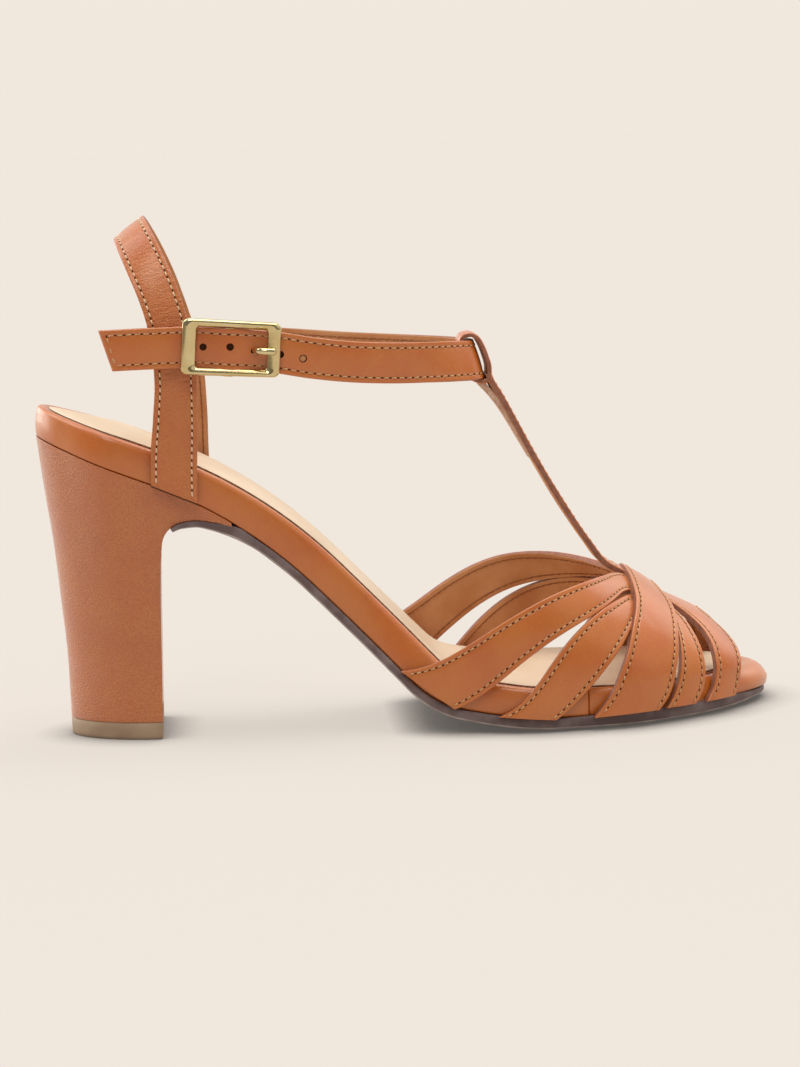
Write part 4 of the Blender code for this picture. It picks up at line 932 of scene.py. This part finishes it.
# Creases beside the knot. Columns: along from the outer foot, across from the rear edge, turn in degrees, half length,
# half width, depth.
WIDE_CREASES = ((33.0, 3.6, 62.0, 3.4, 0.9, 0.16), (36.5, 3.2, 70.0, 3.0, 0.8, 0.14),
                (40.5, 3.4, 78.0, 3.2, 0.9, 0.18), (44.0, 4.4, 84.0, 2.6, 0.8, 0.12),
                (38.0, 7.6, 66.0, 2.4, 0.9, 0.1), (30.0, 6.6, 58.0, 2.2, 0.9, 0.1))


def saddle_lift(t):
    """Height of the wide strap over the form: lower at its feet than at the knot."""
    return SADDLE_FOOT_LIFT + (SADDLE_LIFT - SADDLE_FOOT_LIFT) * (1 - ease(np.abs(t), *SADDLE_FALL))


lines = lay("wide_strap", cross_strap(2, saddle_lift, SADDLE_OVERHANG, thick=SADDLE_THICK, creases=WIDE_CREASES))
fan_lines += trim(lines, 3, -3)
stitches("fan_thread", fan_lines)
stitches("fan_lining_thread", behind(fan_lines), finish=(lining_thread_shade, lining_thread_shade))

# Instep strap. A narrow doubled strap that runs from under the wide strap up the instep, where its end is turned back
# and sewn down as the loop that carries the ankle strap.
INSTEP_WIDE = 12.0
INSTEP_LIFT = 0.3
LOOP_WIDE = 12.5
# Outer face seen from the side. Columns: x, z.
INSTEP_LINE = ((184.0, 37.7), (177.2, 42.0), (172.0, 45.2), (167.6, 51.2), (159.0, 65.0), (150.5, 80.6), (142.0, 97.6),
               (139.9, 101.2), (139.0, 103.6))
# Middle line of the loop seen from the side. Columns: x, z.
LOOP_LINE = ((138.5, 101.8), (138.5, 105.5), (137.7, 108.9), (136.6, 112.0), (135.2, 114.4), (133.1, 115.5),
             (131.0, 115.0), (130.1, 113.0), (130.8, 108.8), (131.9, 104.9), (133.7, 102.1), (136.6, 101.3))
LOOP_THICK = 1.3
FLESH_PINK = (0.62, 0.42, 0.31, 1.0)
FLESH_TAN = (0.47, 0.26, 0.17, 1.0)
# Turned-back end behind the strap. Columns: x, z of its middle line, thickness.
FLAP_LINE = ((134.9, 101.6, 1.0), (137.0, 99.6, 1.9), (139.1, 97.2, 1.8), (141.7, 93.2, 1.3), (144.2, 88.7, 1.0),
             (147.0, 83.4, 0.8), (150.1, 77.3, 0.4))
FLAP_LONG = 26.0
FLAP_WIDE = 11.4


def side_strap(path, wide, inside, **more):
    """Strap that follows a line in the side view, straight across from side to side of the shoe."""
    def face(share):
        y = (share - 0.5) * wide
        return np.stack([path[:, :1] + 0 * y, y, path[:, 1:] + 0 * y], axis=-1)
    return sewn_strap(face, len(path), inside, wide, **more)


def round_plate(long, high, corner, steps):
    """Outline of a plate with round corners: a quarter circle about each corner's centre."""
    ring = []
    for k, (sx, sz) in enumerate(((1, 1), (-1, 1), (-1, -1), (1, -1))):
        turn = np.linspace(k, k + 1, steps) * np.pi / 2
        ring.append(np.stack([sx * (long / 2 - corner) + corner * np.cos(turn), 0 * turn,
                              sz * (high / 2 - corner) + corner * np.sin(turn)], axis=1))
    return np.concatenate(ring)


path = along(INSTEP_LINE, 120) + (0.0, INSTEP_LIFT)
instep_lines = lay("instep_strap", side_strap(path, INSTEP_WIDE, inside=(140.0, 0.0, 40.0), wave=0.06))
path = along(LOOP_LINE + LOOP_LINE[:1], 97)[:-1]
heading = unit(np.roll(path, -1, 0) - np.roll(path, 1, 0))
path = path + np.stack([heading[:, 1], -heading[:, 0]], axis=1) * LOOP_THICK / 2
loop = side_strap(path, LOOP_WIDE, inside=(133.0, 0.0, 108.0), loop=True, thick=LOOP_THICK)
lay("instep_loop", loop, loop=True)
stitches("instep_thread", trim(instep_lines, 14, -4))
path = along(FLAP_LINE, 60)
heading = unit(np.gradient(path[:, :2], axis=0))
ring = round_plate(1.0, FLAP_WIDE, 0.3, 4)
off = ring[None, :, 0] * path[:, 2:]
grid = np.stack([path[:, :1] + heading[:, 1:] * off, ring[None, :, 2] + 0 * off,
                 path[:, 1:2] - heading[:, :1] * off], axis=-1)
run = np.stack([np.linspace(0.0, FLAP_LONG, len(path))[:, None] + 0 * off, grid[..., 1], off], axis=-1)
flesh_side = two_tone("flesh_side", FLESH_PINK, FLESH_TAN, 900.0, 3.0, Roughness=0.75, Specular_IOR_Level=0.2)
settle(skin("instep_flap", grid, [flesh_side], run=run), "camel_leather", "upper")

# Heel strap. One strap that rises from both sides of the seat, outside the wrap, and leans back behind the ankle in an
# arch. Leather over tan lining, sewn along both edges; its feet are lasted in between the wrap and the heel.
# Columns: share of the height, rear edge x and z, front edge x and z.
HEEL_STRAP = ((0.00, 36.0, 77.0, 49.3, 71.0), (0.10, 36.3, 85.0, 49.7, 81.0), (0.26, 37.6, 97.0, 50.5, 95.0),
              (0.42, 38.5, 108.0, 50.8, 108.0), (0.53, 38.1, 117.0, 50.2, 118.0), (0.63, 37.0, 124.0, 48.8, 126.0),
              (0.73, 34.9, 131.5, 46.6, 134.0), (0.82, 32.4, 138.0, 43.7, 141.8), (0.90, 30.2, 143.4, 40.7, 148.5),
              (0.96, 28.7, 146.9, 38.5, 152.8), (1.00, 28.0, 148.4, 37.2, 155.1))
HEEL_STRAP_OUTER = 27.9
HEEL_STRAP_INNER = 27.5
HEEL_STRAP_STRAIGHT = 0.42
HEEL_STRAP_POWER = 2.15
HEEL_STRAP_ROWS = 330
HEEL_STRAP_SKEW = 4.2
HEEL_STRAP_SKEW_HIGH = (0.35, 0.72)
HEEL_STRAP_FOOT_HIGH = (0.0, 0.1)
# Painted shadow line on the heel under each foot of the strap: its width and the strap's columns it follows.
FOOT_SHADOW_WIDE = 0.4
FOOT_SHADOW_COLUMNS = (2, 32)
THREAD_CREAM = (0.75, 0.55, 0.355, 1.0)
THREAD_IVORY = (0.85, 0.65, 0.445, 1.0)


def heel_strap_face():
    """Rows of the arch: legs straight up, then a superellipse across, while the table leans it back."""
    turn = np.linspace(0.0, np.pi / 2, 300)
    high = HEEL_STRAP_STRAIGHT + (1 - HEEL_STRAP_STRAIGHT) * np.sin(turn) ** (2 / HEEL_STRAP_POWER)
    high = np.concatenate([np.linspace(0.0, HEEL_STRAP_STRAIGHT, 120)[:-1], high])
    out = np.concatenate([np.ones(119), np.cos(turn) ** (2 / HEEL_STRAP_POWER)])
    high = np.concatenate([high, high[-2::-1]])
    out = np.concatenate([-HEEL_STRAP_OUTER * out, HEEL_STRAP_INNER * out[-2::-1]])
    rows = np.stack([out, high] + [smooth(high, HEEL_STRAP, k) for k in (1, 2, 3, 4)], axis=1)
    middle = np.stack([(rows[:, 2] + rows[:, 4]) / 2, out, (rows[:, 3] + rows[:, 5]) / 2], axis=1)
    rows = pick(rows, even(middle, HEEL_STRAP_ROWS))[..., None]

    def face(share):
        y, h, rear_x, rear_z, front_x, front_z = rows.transpose(1, 0, 2)
        x = rear_x + (front_x - rear_x) * share
        skew = HEEL_STRAP_SKEW * (1 - h) * (1 - ease(h, *HEEL_STRAP_SKEW_HIGH)) * (y > 0)
        drop = (sole_z(x + skew) - sole_z(x)) * (1 - ease(h, *HEEL_STRAP_FOOT_HIGH))
        return np.stack([x + skew, y + 0 * x, rear_z + (front_z - rear_z) * share + drop], axis=-1)

    return face


def rod(path, wide, sides=16):
    """Round bar: a circle of the given width, or a width for each step, carried along a path."""
    heading = unit(np.gradient(path, axis=0))
    first = unit(np.cross(heading, (0.0, 0.0, 1.0) if np.abs(heading[:, 2]).max() < 0.9 else (1.0, 0.0, 0.0)))
    turn = circle(sides)[None, :, None]
    half = np.broadcast_to(np.asarray(wide, float) / 2, (len(path),))[:, None, None]
    return path[:, None] + half * (np.cos(turn) * first[:, None] + np.sin(turn) * np.cross(heading, first)[:, None])


strap = sewn_strap(heel_strap_face(), HEEL_STRAP_ROWS, inside=(45.0, 0.0, 105.0), wave=0.05)
grained_leather = camel_leather("grained_strap_leather", 0.5, 0.8)
lines = lay("heel_strap_leather", strap, "heel_strap", [grained_leather, edge_paint, lining_leather])
# A thin dark rod along each foot's end paints the shadow under the strap's end on the heel.
for end, word in ((0, "outer"), (-1, "inner")):
    foot_shadow = rod(strap[0][end, slice(*FOOT_SHADOW_COLUMNS)] - (0.0, 0.0, FOOT_SHADOW_WIDE / 3), FOOT_SHADOW_WIDE, 8)
    settle(skin(f"heel_strap_{word}_foot_shadow_line", foot_shadow, [needle_hole_shade]), "camel_leather")
sewn = trim(lines, 2, -2)
cream_thread = two_tone("cream_thread", THREAD_CREAM, THREAD_IVORY, 1800.0, Roughness=0.55, Specular_IOR_Level=0.3)
stitches("heel_strap_thread", sewn, finish=(cream_thread, needle_hole_shade))
stitches("heel_strap_lining_thread", behind(sewn), finish=(lining_thread_shade, lining_thread_shade))

# Ankle strap. A long strap sewn to the inner leg of the heel strap; it runs through the instep's loop to the buckle
# on the outer side and ends in a slanted tip. It has punched holes, and one whose plug was never pushed out.
ANKLE_WIDE = 12.0
ANKLE_TIP_SLANT = 3.5
ANKLE_TIP_X = (24.0, 32.0)
ANKLE_TIP_SEAM = 1.9
ANKLE_LEAN = 15.0
ANKLE_LEAN_Y = (6.0, 24.0)
# Middle line from the tip to the sewn end. Columns: x, y, z.
ANKLE_LINE = ((24.8, -30.55, 117.1), (36.0, -30.55, 117.2), (47.0, -30.55, 117.2), (60.5, -30.55, 116.1),
              (73.0, -30.55, 114.7), (85.0, -29.6, 112.3), (97.0, -27.6, 110.5), (108.0, -24.4, 109.5),
              (119.0, -18.4, 108.8), (128.9, -11.2, 108.2), (134.1, -5.6, 107.9), (135.0, 0.0, 107.9),
              (134.1, 5.6, 107.9), (128.9, 11.2, 108.2), (119.0, 18.2, 108.6), (108.0, 23.8, 109.2),
              (97.0, 27.0, 110.0), (85.0, 28.6, 111.2), (70.0, 29.1, 112.8), (52.0, 28.8, 115.0), (39.0, 28.8, 116.4))
# Holes. Columns: x, height above the middle, length along the strap, width.
HOLES = ((53.1, 0.4, 2.1, 2.1), (60.9, 0.8, 2.2, 2.2), (68.3, 0.0, 2.9, 2.5), (75.4, -0.3, 2.1, 2.1))
PUNCH_Y = (-38.0, -24.0)
# Dark disc of painted shade across a hole. Columns: y from the middle line, share of the hole's size.
HOLE_SHADE = ((-0.1, 0.05), (-0.1, 1.02), (0.1, 1.02), (0.1, 0.05))
# Hole that was never pushed out, with the same columns.
BLIND_HOLE = (81.9, -0.5, 2.3, 2.3)
BLIND_DEEP = 0.7
ANKLE_PITCH = 2.55
BUCKLE_AT = (60.6, -32.9, 116.15)
STRAP_BULGE = 1.9
STRAP_BULGE_LONG = 20.0


def ankle_rows(count=420):
    """Middle line of the ankle strap, bulged out over the buckle's centre bar, with its directions along, in and up
    and the slant of its tip. The strap leans in at the front."""
    line = along(ANKLE_LINE, count)
    bulge = np.cos(np.clip((line[:, 0] - BUCKLE_AT[0]) / STRAP_BULGE_LONG, -0.5, 0.5) * np.pi) ** 2
    line[:, 1] -= STRAP_BULGE * bulge * (line[:, 1] < 0)
    heading = unit(np.gradient(line, axis=0))
    inward = unit(np.stack([-heading[:, 1], heading[:, 0], 0 * heading[:, 0]], axis=1))
    lean = np.radians(ANKLE_LEAN) * (1 - ease(np.abs(line[:, 1]), *ANKLE_LEAN_Y))
    up = np.cross(heading, inward) * np.cos(lean)[:, None] + inward * np.sin(lean)[:, None]
    slant = ANKLE_TIP_SLANT * (1 - ease(line[:, 0], *ANKLE_TIP_X)) * (line[:, 1] < 0)
    return line, heading, np.cross(up, heading), up, slant


line, heading, inward, up, slant = ankle_rows()


def ankle_face(share):
    """Outer face of the ankle strap: half its thickness out from the middle line, its width along the up direction."""
    high = (share - 0.5)[..., None] * ANKLE_WIDE
    face = line - inward * STRAP_THICK / 2
    return face[:, None] + up[:, None] * high - heading[:, None] * (slant[:, None] * (share - 0.5))[..., None]


def ankle_at(x, rise):
    """Point of the strap's line on the outer side at x, before its bulge, raised by so much."""
    rows = np.array(ANKLE_LINE[:6])
    return np.array([x, np.interp(x, rows[:, 0], rows[:, 1]), np.interp(x, rows[:, 0], rows[:, 2]) + rise])


def punch(piece, prisms, finish):
    """Piece with prisms cut out of it. Each is a pair of rings, and what it cuts takes the finish."""
    cutters = [skin(f"cutter_{k}", prism, [finish]) for k, prism in enumerate(prisms)]
    for cutter in cutters:
        cut = piece.modifiers.new(cutter.name, "BOOLEAN")
        cut.operation = "DIFFERENCE"
        cut.solver = "EXACT"
        cut.material_mode = "TRANSFER"
        cut.object = cutter
    bpy.context.view_layer.update()
    mesh = bpy.data.meshes.new_from_object(piece.evaluated_get(bpy.context.evaluated_depsgraph_get()))
    mesh.set_sharp_from_angle(angle=np.radians(50.0))
    mesh.name = piece.name
    piece.modifiers.clear()
    piece.data = mesh
    for cutter in cutters:
        bpy.data.objects.remove(cutter)


grid, run, zone, lines = sewn_strap(ankle_face, len(line), inside=(85.0, 0.0, 112.0), wide=ANKLE_WIDE,
                                    tips=(0.9, 0.6), wave=0.04)
ankle = skin("ankle_strap_leather", grid, strap_finish, zone, run=run)
disc = np.stack([np.cos(circle(28)), np.zeros(28), np.sin(circle(28))], axis=1)
prisms = []
for x, rise, long, high in HOLES + (BLIND_HOLE,):
    at = ankle_at(x, rise)
    end = at[1] - STRAP_THICK / 2 + BLIND_DEEP if x == BLIND_HOLE[0] else PUNCH_Y[1]
    ring = disc * (long / 2, 0.0, high / 2)
    prisms.append(np.array([ring + (x, y, at[2]) for y in (PUNCH_Y[0], end)]))
# The holes' cut walls, and the blind hole's floor, take the painted hole shade.
punch(ankle, prisms, needle_hole_shade)
settle(ankle, "camel_leather", "ankle_strap")
tip_row = np.argmin(np.abs(np.linalg.norm(line - line[0], axis=1) - ANKLE_TIP_SEAM))
tip_share = np.linspace(SEW_INSET, ANKLE_WIDE - SEW_INSET, 40) / ANKLE_WIDE
tip_face = ankle_face(np.tile(tip_share, (len(line), 1)))[tip_row]
tip_line = (tip_face + inward[tip_row] * SEW_DEEP * 0.2, np.tile(-inward[tip_row], (len(tip_face), 1)))
sewn = trim(lines, tip_row, -3)
stitches("ankle_strap_thread", sewn + [tip_line], ANKLE_PITCH)
stitches("ankle_lining_thread", behind(sewn), ANKLE_PITCH, (lining_thread_shade, lining_thread_shade))
# A dark disc of painted shade stands across each round hole.
for k, (x, rise, long, high) in enumerate(HOLES):
    if long == high:
        row = np.argmin(np.abs(line[:, 0] - x) + 100.0 * (line[:, 1] > 0))
        middle = np.array([x, line[row, 1], ankle_at(x, rise)[2]])
        shade = np.array([disc * size * long / 2 + middle + (0.0, y, 0.0) for y, size in HOLE_SHADE])
        settle(skin(f"hole_shade_{k}", shade, [needle_hole_shade]), "camel_leather")

# Plug. The round of leather that the punch cut but did not push out, left standing in the last hole. It is pale where
# it was cut and sits a little to the back of the hole.
PLUG_WIDE = 2.0
PLUG_BACK = 0.12
# Columns: depth from the strap's face, share of the width.
PLUG_RINGS = ((0.65, 1.0), (0.2, 1.0), (0.02, 0.93), (-0.06, 0.75), (-0.1, 0.4), (-0.11, 0.05))

at = ankle_at(*BLIND_HOLE[:2]) - (PLUG_BACK, STRAP_THICK / 2, 0.0)
rings = np.array([disc * size * PLUG_WIDE / 2 + at + (0.0, deep, 0.0) for deep, size in PLUG_RINGS])
settle(skin("hole_plug", rings, [lining_leather]), "camel_leather")

# Buckle frame. Cast and polished pale brass: wide end bars, thin rails, a crowned face that slopes inwards, and
# a centre bar on two lugs behind the strap.
BUCKLE_TILT = 5.0
BUCKLE_LONG = 28.8
BUCKLE_HIGH = 16.2
BUCKLE_THICK = 2.0
BUCKLE_END_BAR = 4.1
BUCKLE_SHIFT = 0.2
BUCKLE_RAIL = 2.3
BUCKLE_MOVE = (0.5, 0.0, 0.3)
BUCKLE_TAPER = 0.045
BAR_WIDE = 1.8
BAR_DEEP = 4.7
BAR_LUG_LONG = 3.2
# Lug of the centre bar. Columns: depth behind the frame's middle, share of its size.
BAR_LUG = ((0.4, 1.0), (5.6, 1.0), (5.9, 0.8))
FRAME_CORNERS = (2.0, 1.0)
# Section of the frame. Columns: share from the outer to the inner edge, depth from the face in thicknesses.
FRAME_SECTION = ((0.0, 1.0), (0.0, 0.58), (0.02, 0.42), (0.06, 0.28), (0.12, 0.17), (0.2, 0.08), (0.3, 0.02),
                 (0.4, 0.0), (0.5, 0.02), (0.6, 0.07), (0.7, 0.15), (0.8, 0.25), (0.89, 0.36), (0.96, 0.48),
                 (1.0, 0.62), (1.0, 1.0), (0.85, 1.06), (0.15, 1.06))
BRASS = (0.58, 0.45, 0.2, 1.0)
BRASS_PALE = (0.69, 0.57, 0.32, 1.0)


def buckle_place(points):
    """Points from the buckle's own frame (along the strap, in towards the foot, up) to the shoe's."""
    tilt = np.radians(BUCKLE_TILT)
    x = points[..., 0] * np.cos(tilt) + points[..., 2] * np.sin(tilt)
    z = points[..., 2] * np.cos(tilt) - points[..., 0] * np.sin(tilt)
    return np.stack([x, points[..., 1], z], axis=-1) + BUCKLE_AT


pale_brass, tree, shader = finish_of("pale_brass", Metallic=1.0)
place = link(tree, "ShaderNodeTexCoord").outputs["Object"]
cloud = span(tree, noise(tree, place, 90.0, 3.0), 0.3, 0.7)
polish = noise(tree, place, 1500.0, 3.0)
tree.links.new(mix(tree, cloud, BRASS, BRASS_PALE), shader.inputs["Base Color"])
tree.links.new(span(tree, polish, 0.3, 0.7, 0.08, 0.14), shader.inputs["Roughness"])
tree.links.new(relief(tree, polish, 0.03, 0.0001), shader.inputs["Normal"])

outer = round_plate(BUCKLE_LONG, BUCKLE_HIGH, FRAME_CORNERS[0], 10)
inner = round_plate(BUCKLE_LONG - 2 * BUCKLE_END_BAR, BUCKLE_HIGH - 2 * BUCKLE_RAIL, FRAME_CORNERS[1], 10)
inner[:, 0] += BUCKLE_SHIFT
share, deep = np.array(FRAME_SECTION).T[:, None, :, None]
grid = outer[:, None] * (1 - share) + inner[:, None] * share
grid[..., 1] = (deep[..., 0] - 0.5) * BUCKLE_THICK
grid[..., 2] *= 1 - BUCKLE_TAPER * grid[..., 0] / BUCKLE_LONG
buckle = skin("buckle_frame_brass", buckle_place(grid + BUCKLE_MOVE), [pale_brass], loop=True, crease=38.0)
settle(buckle, "pale_brass", "buckle_frame")
rail = BUCKLE_HIGH / 2 - BUCKLE_RAIL / 2
path = np.stack([np.zeros(12), np.full(12, BAR_DEEP), np.linspace(-rail, rail, 12)], axis=1)
bar = skin("buckle_centre_bar", buckle_place(rod(path, BAR_WIDE)), [pale_brass], crease=40.0)
settle(bar, "pale_brass", "buckle_frame")
plate = round_plate(BAR_LUG_LONG, BUCKLE_RAIL - 0.3, 0.6, 6)
for sign, word in ((-1, "lower"), (1, "upper")):
    grid = np.array([plate * size + (0.0, deep, sign * rail) for deep, size in BAR_LUG])
    lug = skin(f"buckle_{word}_lug", buckle_place(grid), [pale_brass], crease=40.0)
    settle(lug, "pale_brass", "buckle_frame")

# Buckle prong. A round brass pin bent round the centre bar; it comes up through the strap's hole and rests on the
# end bar, where its tip is rounded off.
PRONG_WIDE = 2.1
PRONG_TIP = 0.7
# Columns: along the strap, in from the frame's middle.
PRONG_LINE = ((1.9, 4.7), (4.5, 4.6), (6.5, 3.4), (7.3, 1.6), (7.9, -0.3), (8.9, -1.75), (10.9, -2.2), (13.6, -2.2))

path = along([(a, b, 0.0) for a, b in PRONG_LINE], 60)
reach = np.linalg.norm(path - path[-1], axis=1)
wide = PRONG_WIDE * np.sqrt(np.clip(1 - (1 - np.minimum(reach / PRONG_TIP, 1.0)) ** 2, 0.02, 1.0))
prong = skin("buckle_prong_brass", buckle_place(rod(path, wide)), [pale_brass], crease=60.0)
settle(prong, "pale_brass", "buckle_prong")

# Buckle tab. A short leather tab folded round the centre bar and sewn to the outer leg of the heel strap behind the
# ankle strap, slotted where the prong passes.
TAB_THICK = 1.0
TAB_HIGH = 9.0
TAB_BACK = 39.0
# Points of its run from the heel strap to the bar, as distances along the strap from the buckle's middle.
TAB_RISE = (-11.0, -8.0, -3.5)
TAB_TURN = (0.5, -0.6)
# Slot: its length, width and corner, then the depths between which it is cut.
TAB_SLOT = (7.4, 2.6, 1.0)
TAB_SLOT_DEEP = (-3.0, 9.0)

radius = BAR_WIDE / 2 + SEAM_GAP + STRAP_SLACK
rest = -(HEEL_STRAP_OUTER + SEAM_GAP + BUCKLE_AT[1])
lead = [(x, rest) for x in (TAB_BACK - BUCKLE_AT[0], *TAB_RISE[:2])]
lead += [(TAB_RISE[2], BAR_DEEP - radius - STRAP_SLACK), (0.0, BAR_DEEP - radius)]
bend = np.linspace(*TAB_TURN, 30) * np.pi
path = np.concatenate([along(lead, 50)[:-1],
                       np.stack([radius * np.cos(bend), BAR_DEEP - radius * np.sin(bend)], axis=1)])
heading = unit(np.gradient(path, axis=0))
ring = round_plate(TAB_THICK, TAB_HIGH, 0.3, 4)
off = ring[None, :, 0] + TAB_THICK / 2 + 0 * path[:, :1]
high = ring[None, :, 2] + 0 * off
grid = np.stack([path[:, :1] + heading[:, 1:] * off, path[:, 1:] - heading[:, :1] * off, high], axis=-1)
run = np.stack([reach_of(path)[:, None] + 0 * off, high, off], axis=-1)
tab = skin("buckle_tab_leather", buckle_place(grid), [strap_leather, edge_paint], run=run)
slot = round_plate(*TAB_SLOT, 5)
punch(tab, [buckle_place(np.array([slot + (0.0, y, 0.0) for y in TAB_SLOT_DEEP]))], edge_paint)
settle(tab, "camel_leather", "buckle_tab")

# Studio. A plain cream floor that runs on to a horizon of the same cream; close to the shoe its glow is dimmed, a
# painted contact shadow. A broad soft light is overhead, one low behind on the left, weaker ones left and right and a
# narrower one in front.
# The camera stands low on the outer side, a little behind the middle of the shoe.
CREAM = (0.88, 0.807, 0.723, 1.0)
FLOOR_CREAM = (0.168, 0.157, 0.151, 1.0)
FLOOR_GLOW = 0.68
# Painted contact shadow: how far the floor looks for the shoe, and the glow left where it is closest.
FLOOR_SHADOW_REACH = 0.013
FLOOR_SHADOW_GLOW = 0.1
FLOOR_HALF = 60.0
# Lights. Columns: strength, angle in degrees, direction from which they shine.
LIGHTS = ((1.6, 45.0, (0.18, 0.0, 0.98)), (0.8, 36.0, (-0.62, 0.1, 0.8)), (0.35, 45.0, (0.6, 0.45, 0.66)),
          (0.3, 50.0, (0.71, -0.51, 0.55)), (1.5, 50.0, (-0.75, 0.65, 0.12)), (0.65, 25.0, (-0.15, -0.62, 0.77)))
LIGHT_WARM = (1.0, 0.96, 0.89)
# Sky. Columns: height of the direction, grey. It is dim on the shoe's outer side and brighter before and behind it.
SKY = ((0.25, 0.75), (0.6, 0.85), (0.9, 0.95))
HORIZON = 0.07
FRONT_EDGE = (-0.2, 0.3)
FRONT_FILL = 0.26
FRONT_SHADE = 0.3
FRONT_SHADE_HIGH = (0.3, 0.55)
SIDE_LIGHT = 1.2
SIDE_EDGE = (0.35, 0.7)
CAMERA_AT = (50.83, -940.44, 176.61)
CAMERA_RIGHT = (0.9969, -0.06783, -0.03981)
CAMERA_UP = (0.04802, 0.12419, 0.9911)
CAMERA_BACK = (-0.06228, -0.98994, 0.12706)
CAMERA_LENS = 105.77
CAMERA_SENSOR = 36.0
CAMERA_FAR = 200.0

mesh = bpy.data.meshes.new("floor")
corners = np.array([(-1, -1, 0), (1, -1, 0), (1, 1, 0), (-1, 1, 0)], float) * FLOOR_HALF
mesh.from_pydata(corners, [], [(0, 1, 2, 3)])
floor_finish, tree, shader = finish_of("floor_cream", Roughness=1.0, Specular_IOR_Level=0.0, Emission_Color=CREAM)
shader.inputs["Base Color"].default_value = FLOOR_CREAM
# Painted contact shadow: ambient occlusion near the shoe dims the floor's glow.
contact_shadow = link(tree, "ShaderNodeAmbientOcclusion", {"Distance": FLOOR_SHADOW_REACH}, samples=4).outputs["AO"]
tree.links.new(span(tree, contact_shadow, 0.35, 1.0, FLOOR_SHADOW_GLOW, FLOOR_GLOW), shader.inputs["Emission Strength"])
floor = put("floor", mesh, [floor_finish])
for k, (strength, angle, direction) in enumerate(LIGHTS):
    lamp = bpy.data.lights.new(f"soft_light_{k}", "SUN")
    lamp.energy = strength
    lamp.color = LIGHT_WARM
    lamp.angle = np.radians(angle)
    light = bpy.data.objects.new(lamp.name, lamp)
    light.rotation_euler = Vector(direction).to_track_quat("Z", "Y").to_euler()
    bpy.context.scene.collection.objects.link(light)
world = bpy.data.worlds.new("studio")
world.use_nodes = True
tree = world.node_tree
aim = link(tree, "ShaderNodeSeparateXYZ", {0: link(tree, "ShaderNodeTexCoord").outputs["Generated"]}).outputs
ramp = link(tree, "ShaderNodeValToRGB", {0: aim[2]})
stops = ramp.color_ramp.elements
stops[0].position = HORIZON
stops[0].color = CREAM
stops.remove(stops[1])
for position, grey in SKY:
    stops.new(position).color = (grey, grey, grey, 1.0)
tree.links.new(ramp.outputs[0], tree.nodes["Background"].inputs[0])
side = link(tree, "ShaderNodeMath", {0: aim[0]}, operation="ABSOLUTE").outputs[0]
front = span(tree, aim[2], *FRONT_SHADE_HIGH, FRONT_FILL, FRONT_SHADE)
level = link(tree, "ShaderNodeMath", {0: span(tree, aim[1], *FRONT_EDGE, front, 1.0),
                                      1: span(tree, side, *SIDE_EDGE, 1.0, SIDE_LIGHT)}, operation="MULTIPLY")
tree.links.new(level.outputs[0], tree.nodes["Background"].inputs[1])
bpy.context.scene.world = world
bpy.context.scene.view_settings.view_transform = "Standard"
lens = bpy.data.cameras.new("camera")
lens.lens = CAMERA_LENS
lens.sensor_width = CAMERA_SENSOR
lens.clip_end = CAMERA_FAR
camera = bpy.data.objects.new("camera", lens)
axes = Matrix((CAMERA_RIGHT, CAMERA_UP, CAMERA_BACK)).transposed().to_4x4()
axes.translation = (Vector(CAMERA_AT) - Vector(ORIGIN)) / 1000
camera.matrix_world = axes
bpy.context.scene.collection.objects.link(camera)
bpy.context.scene.camera = camera
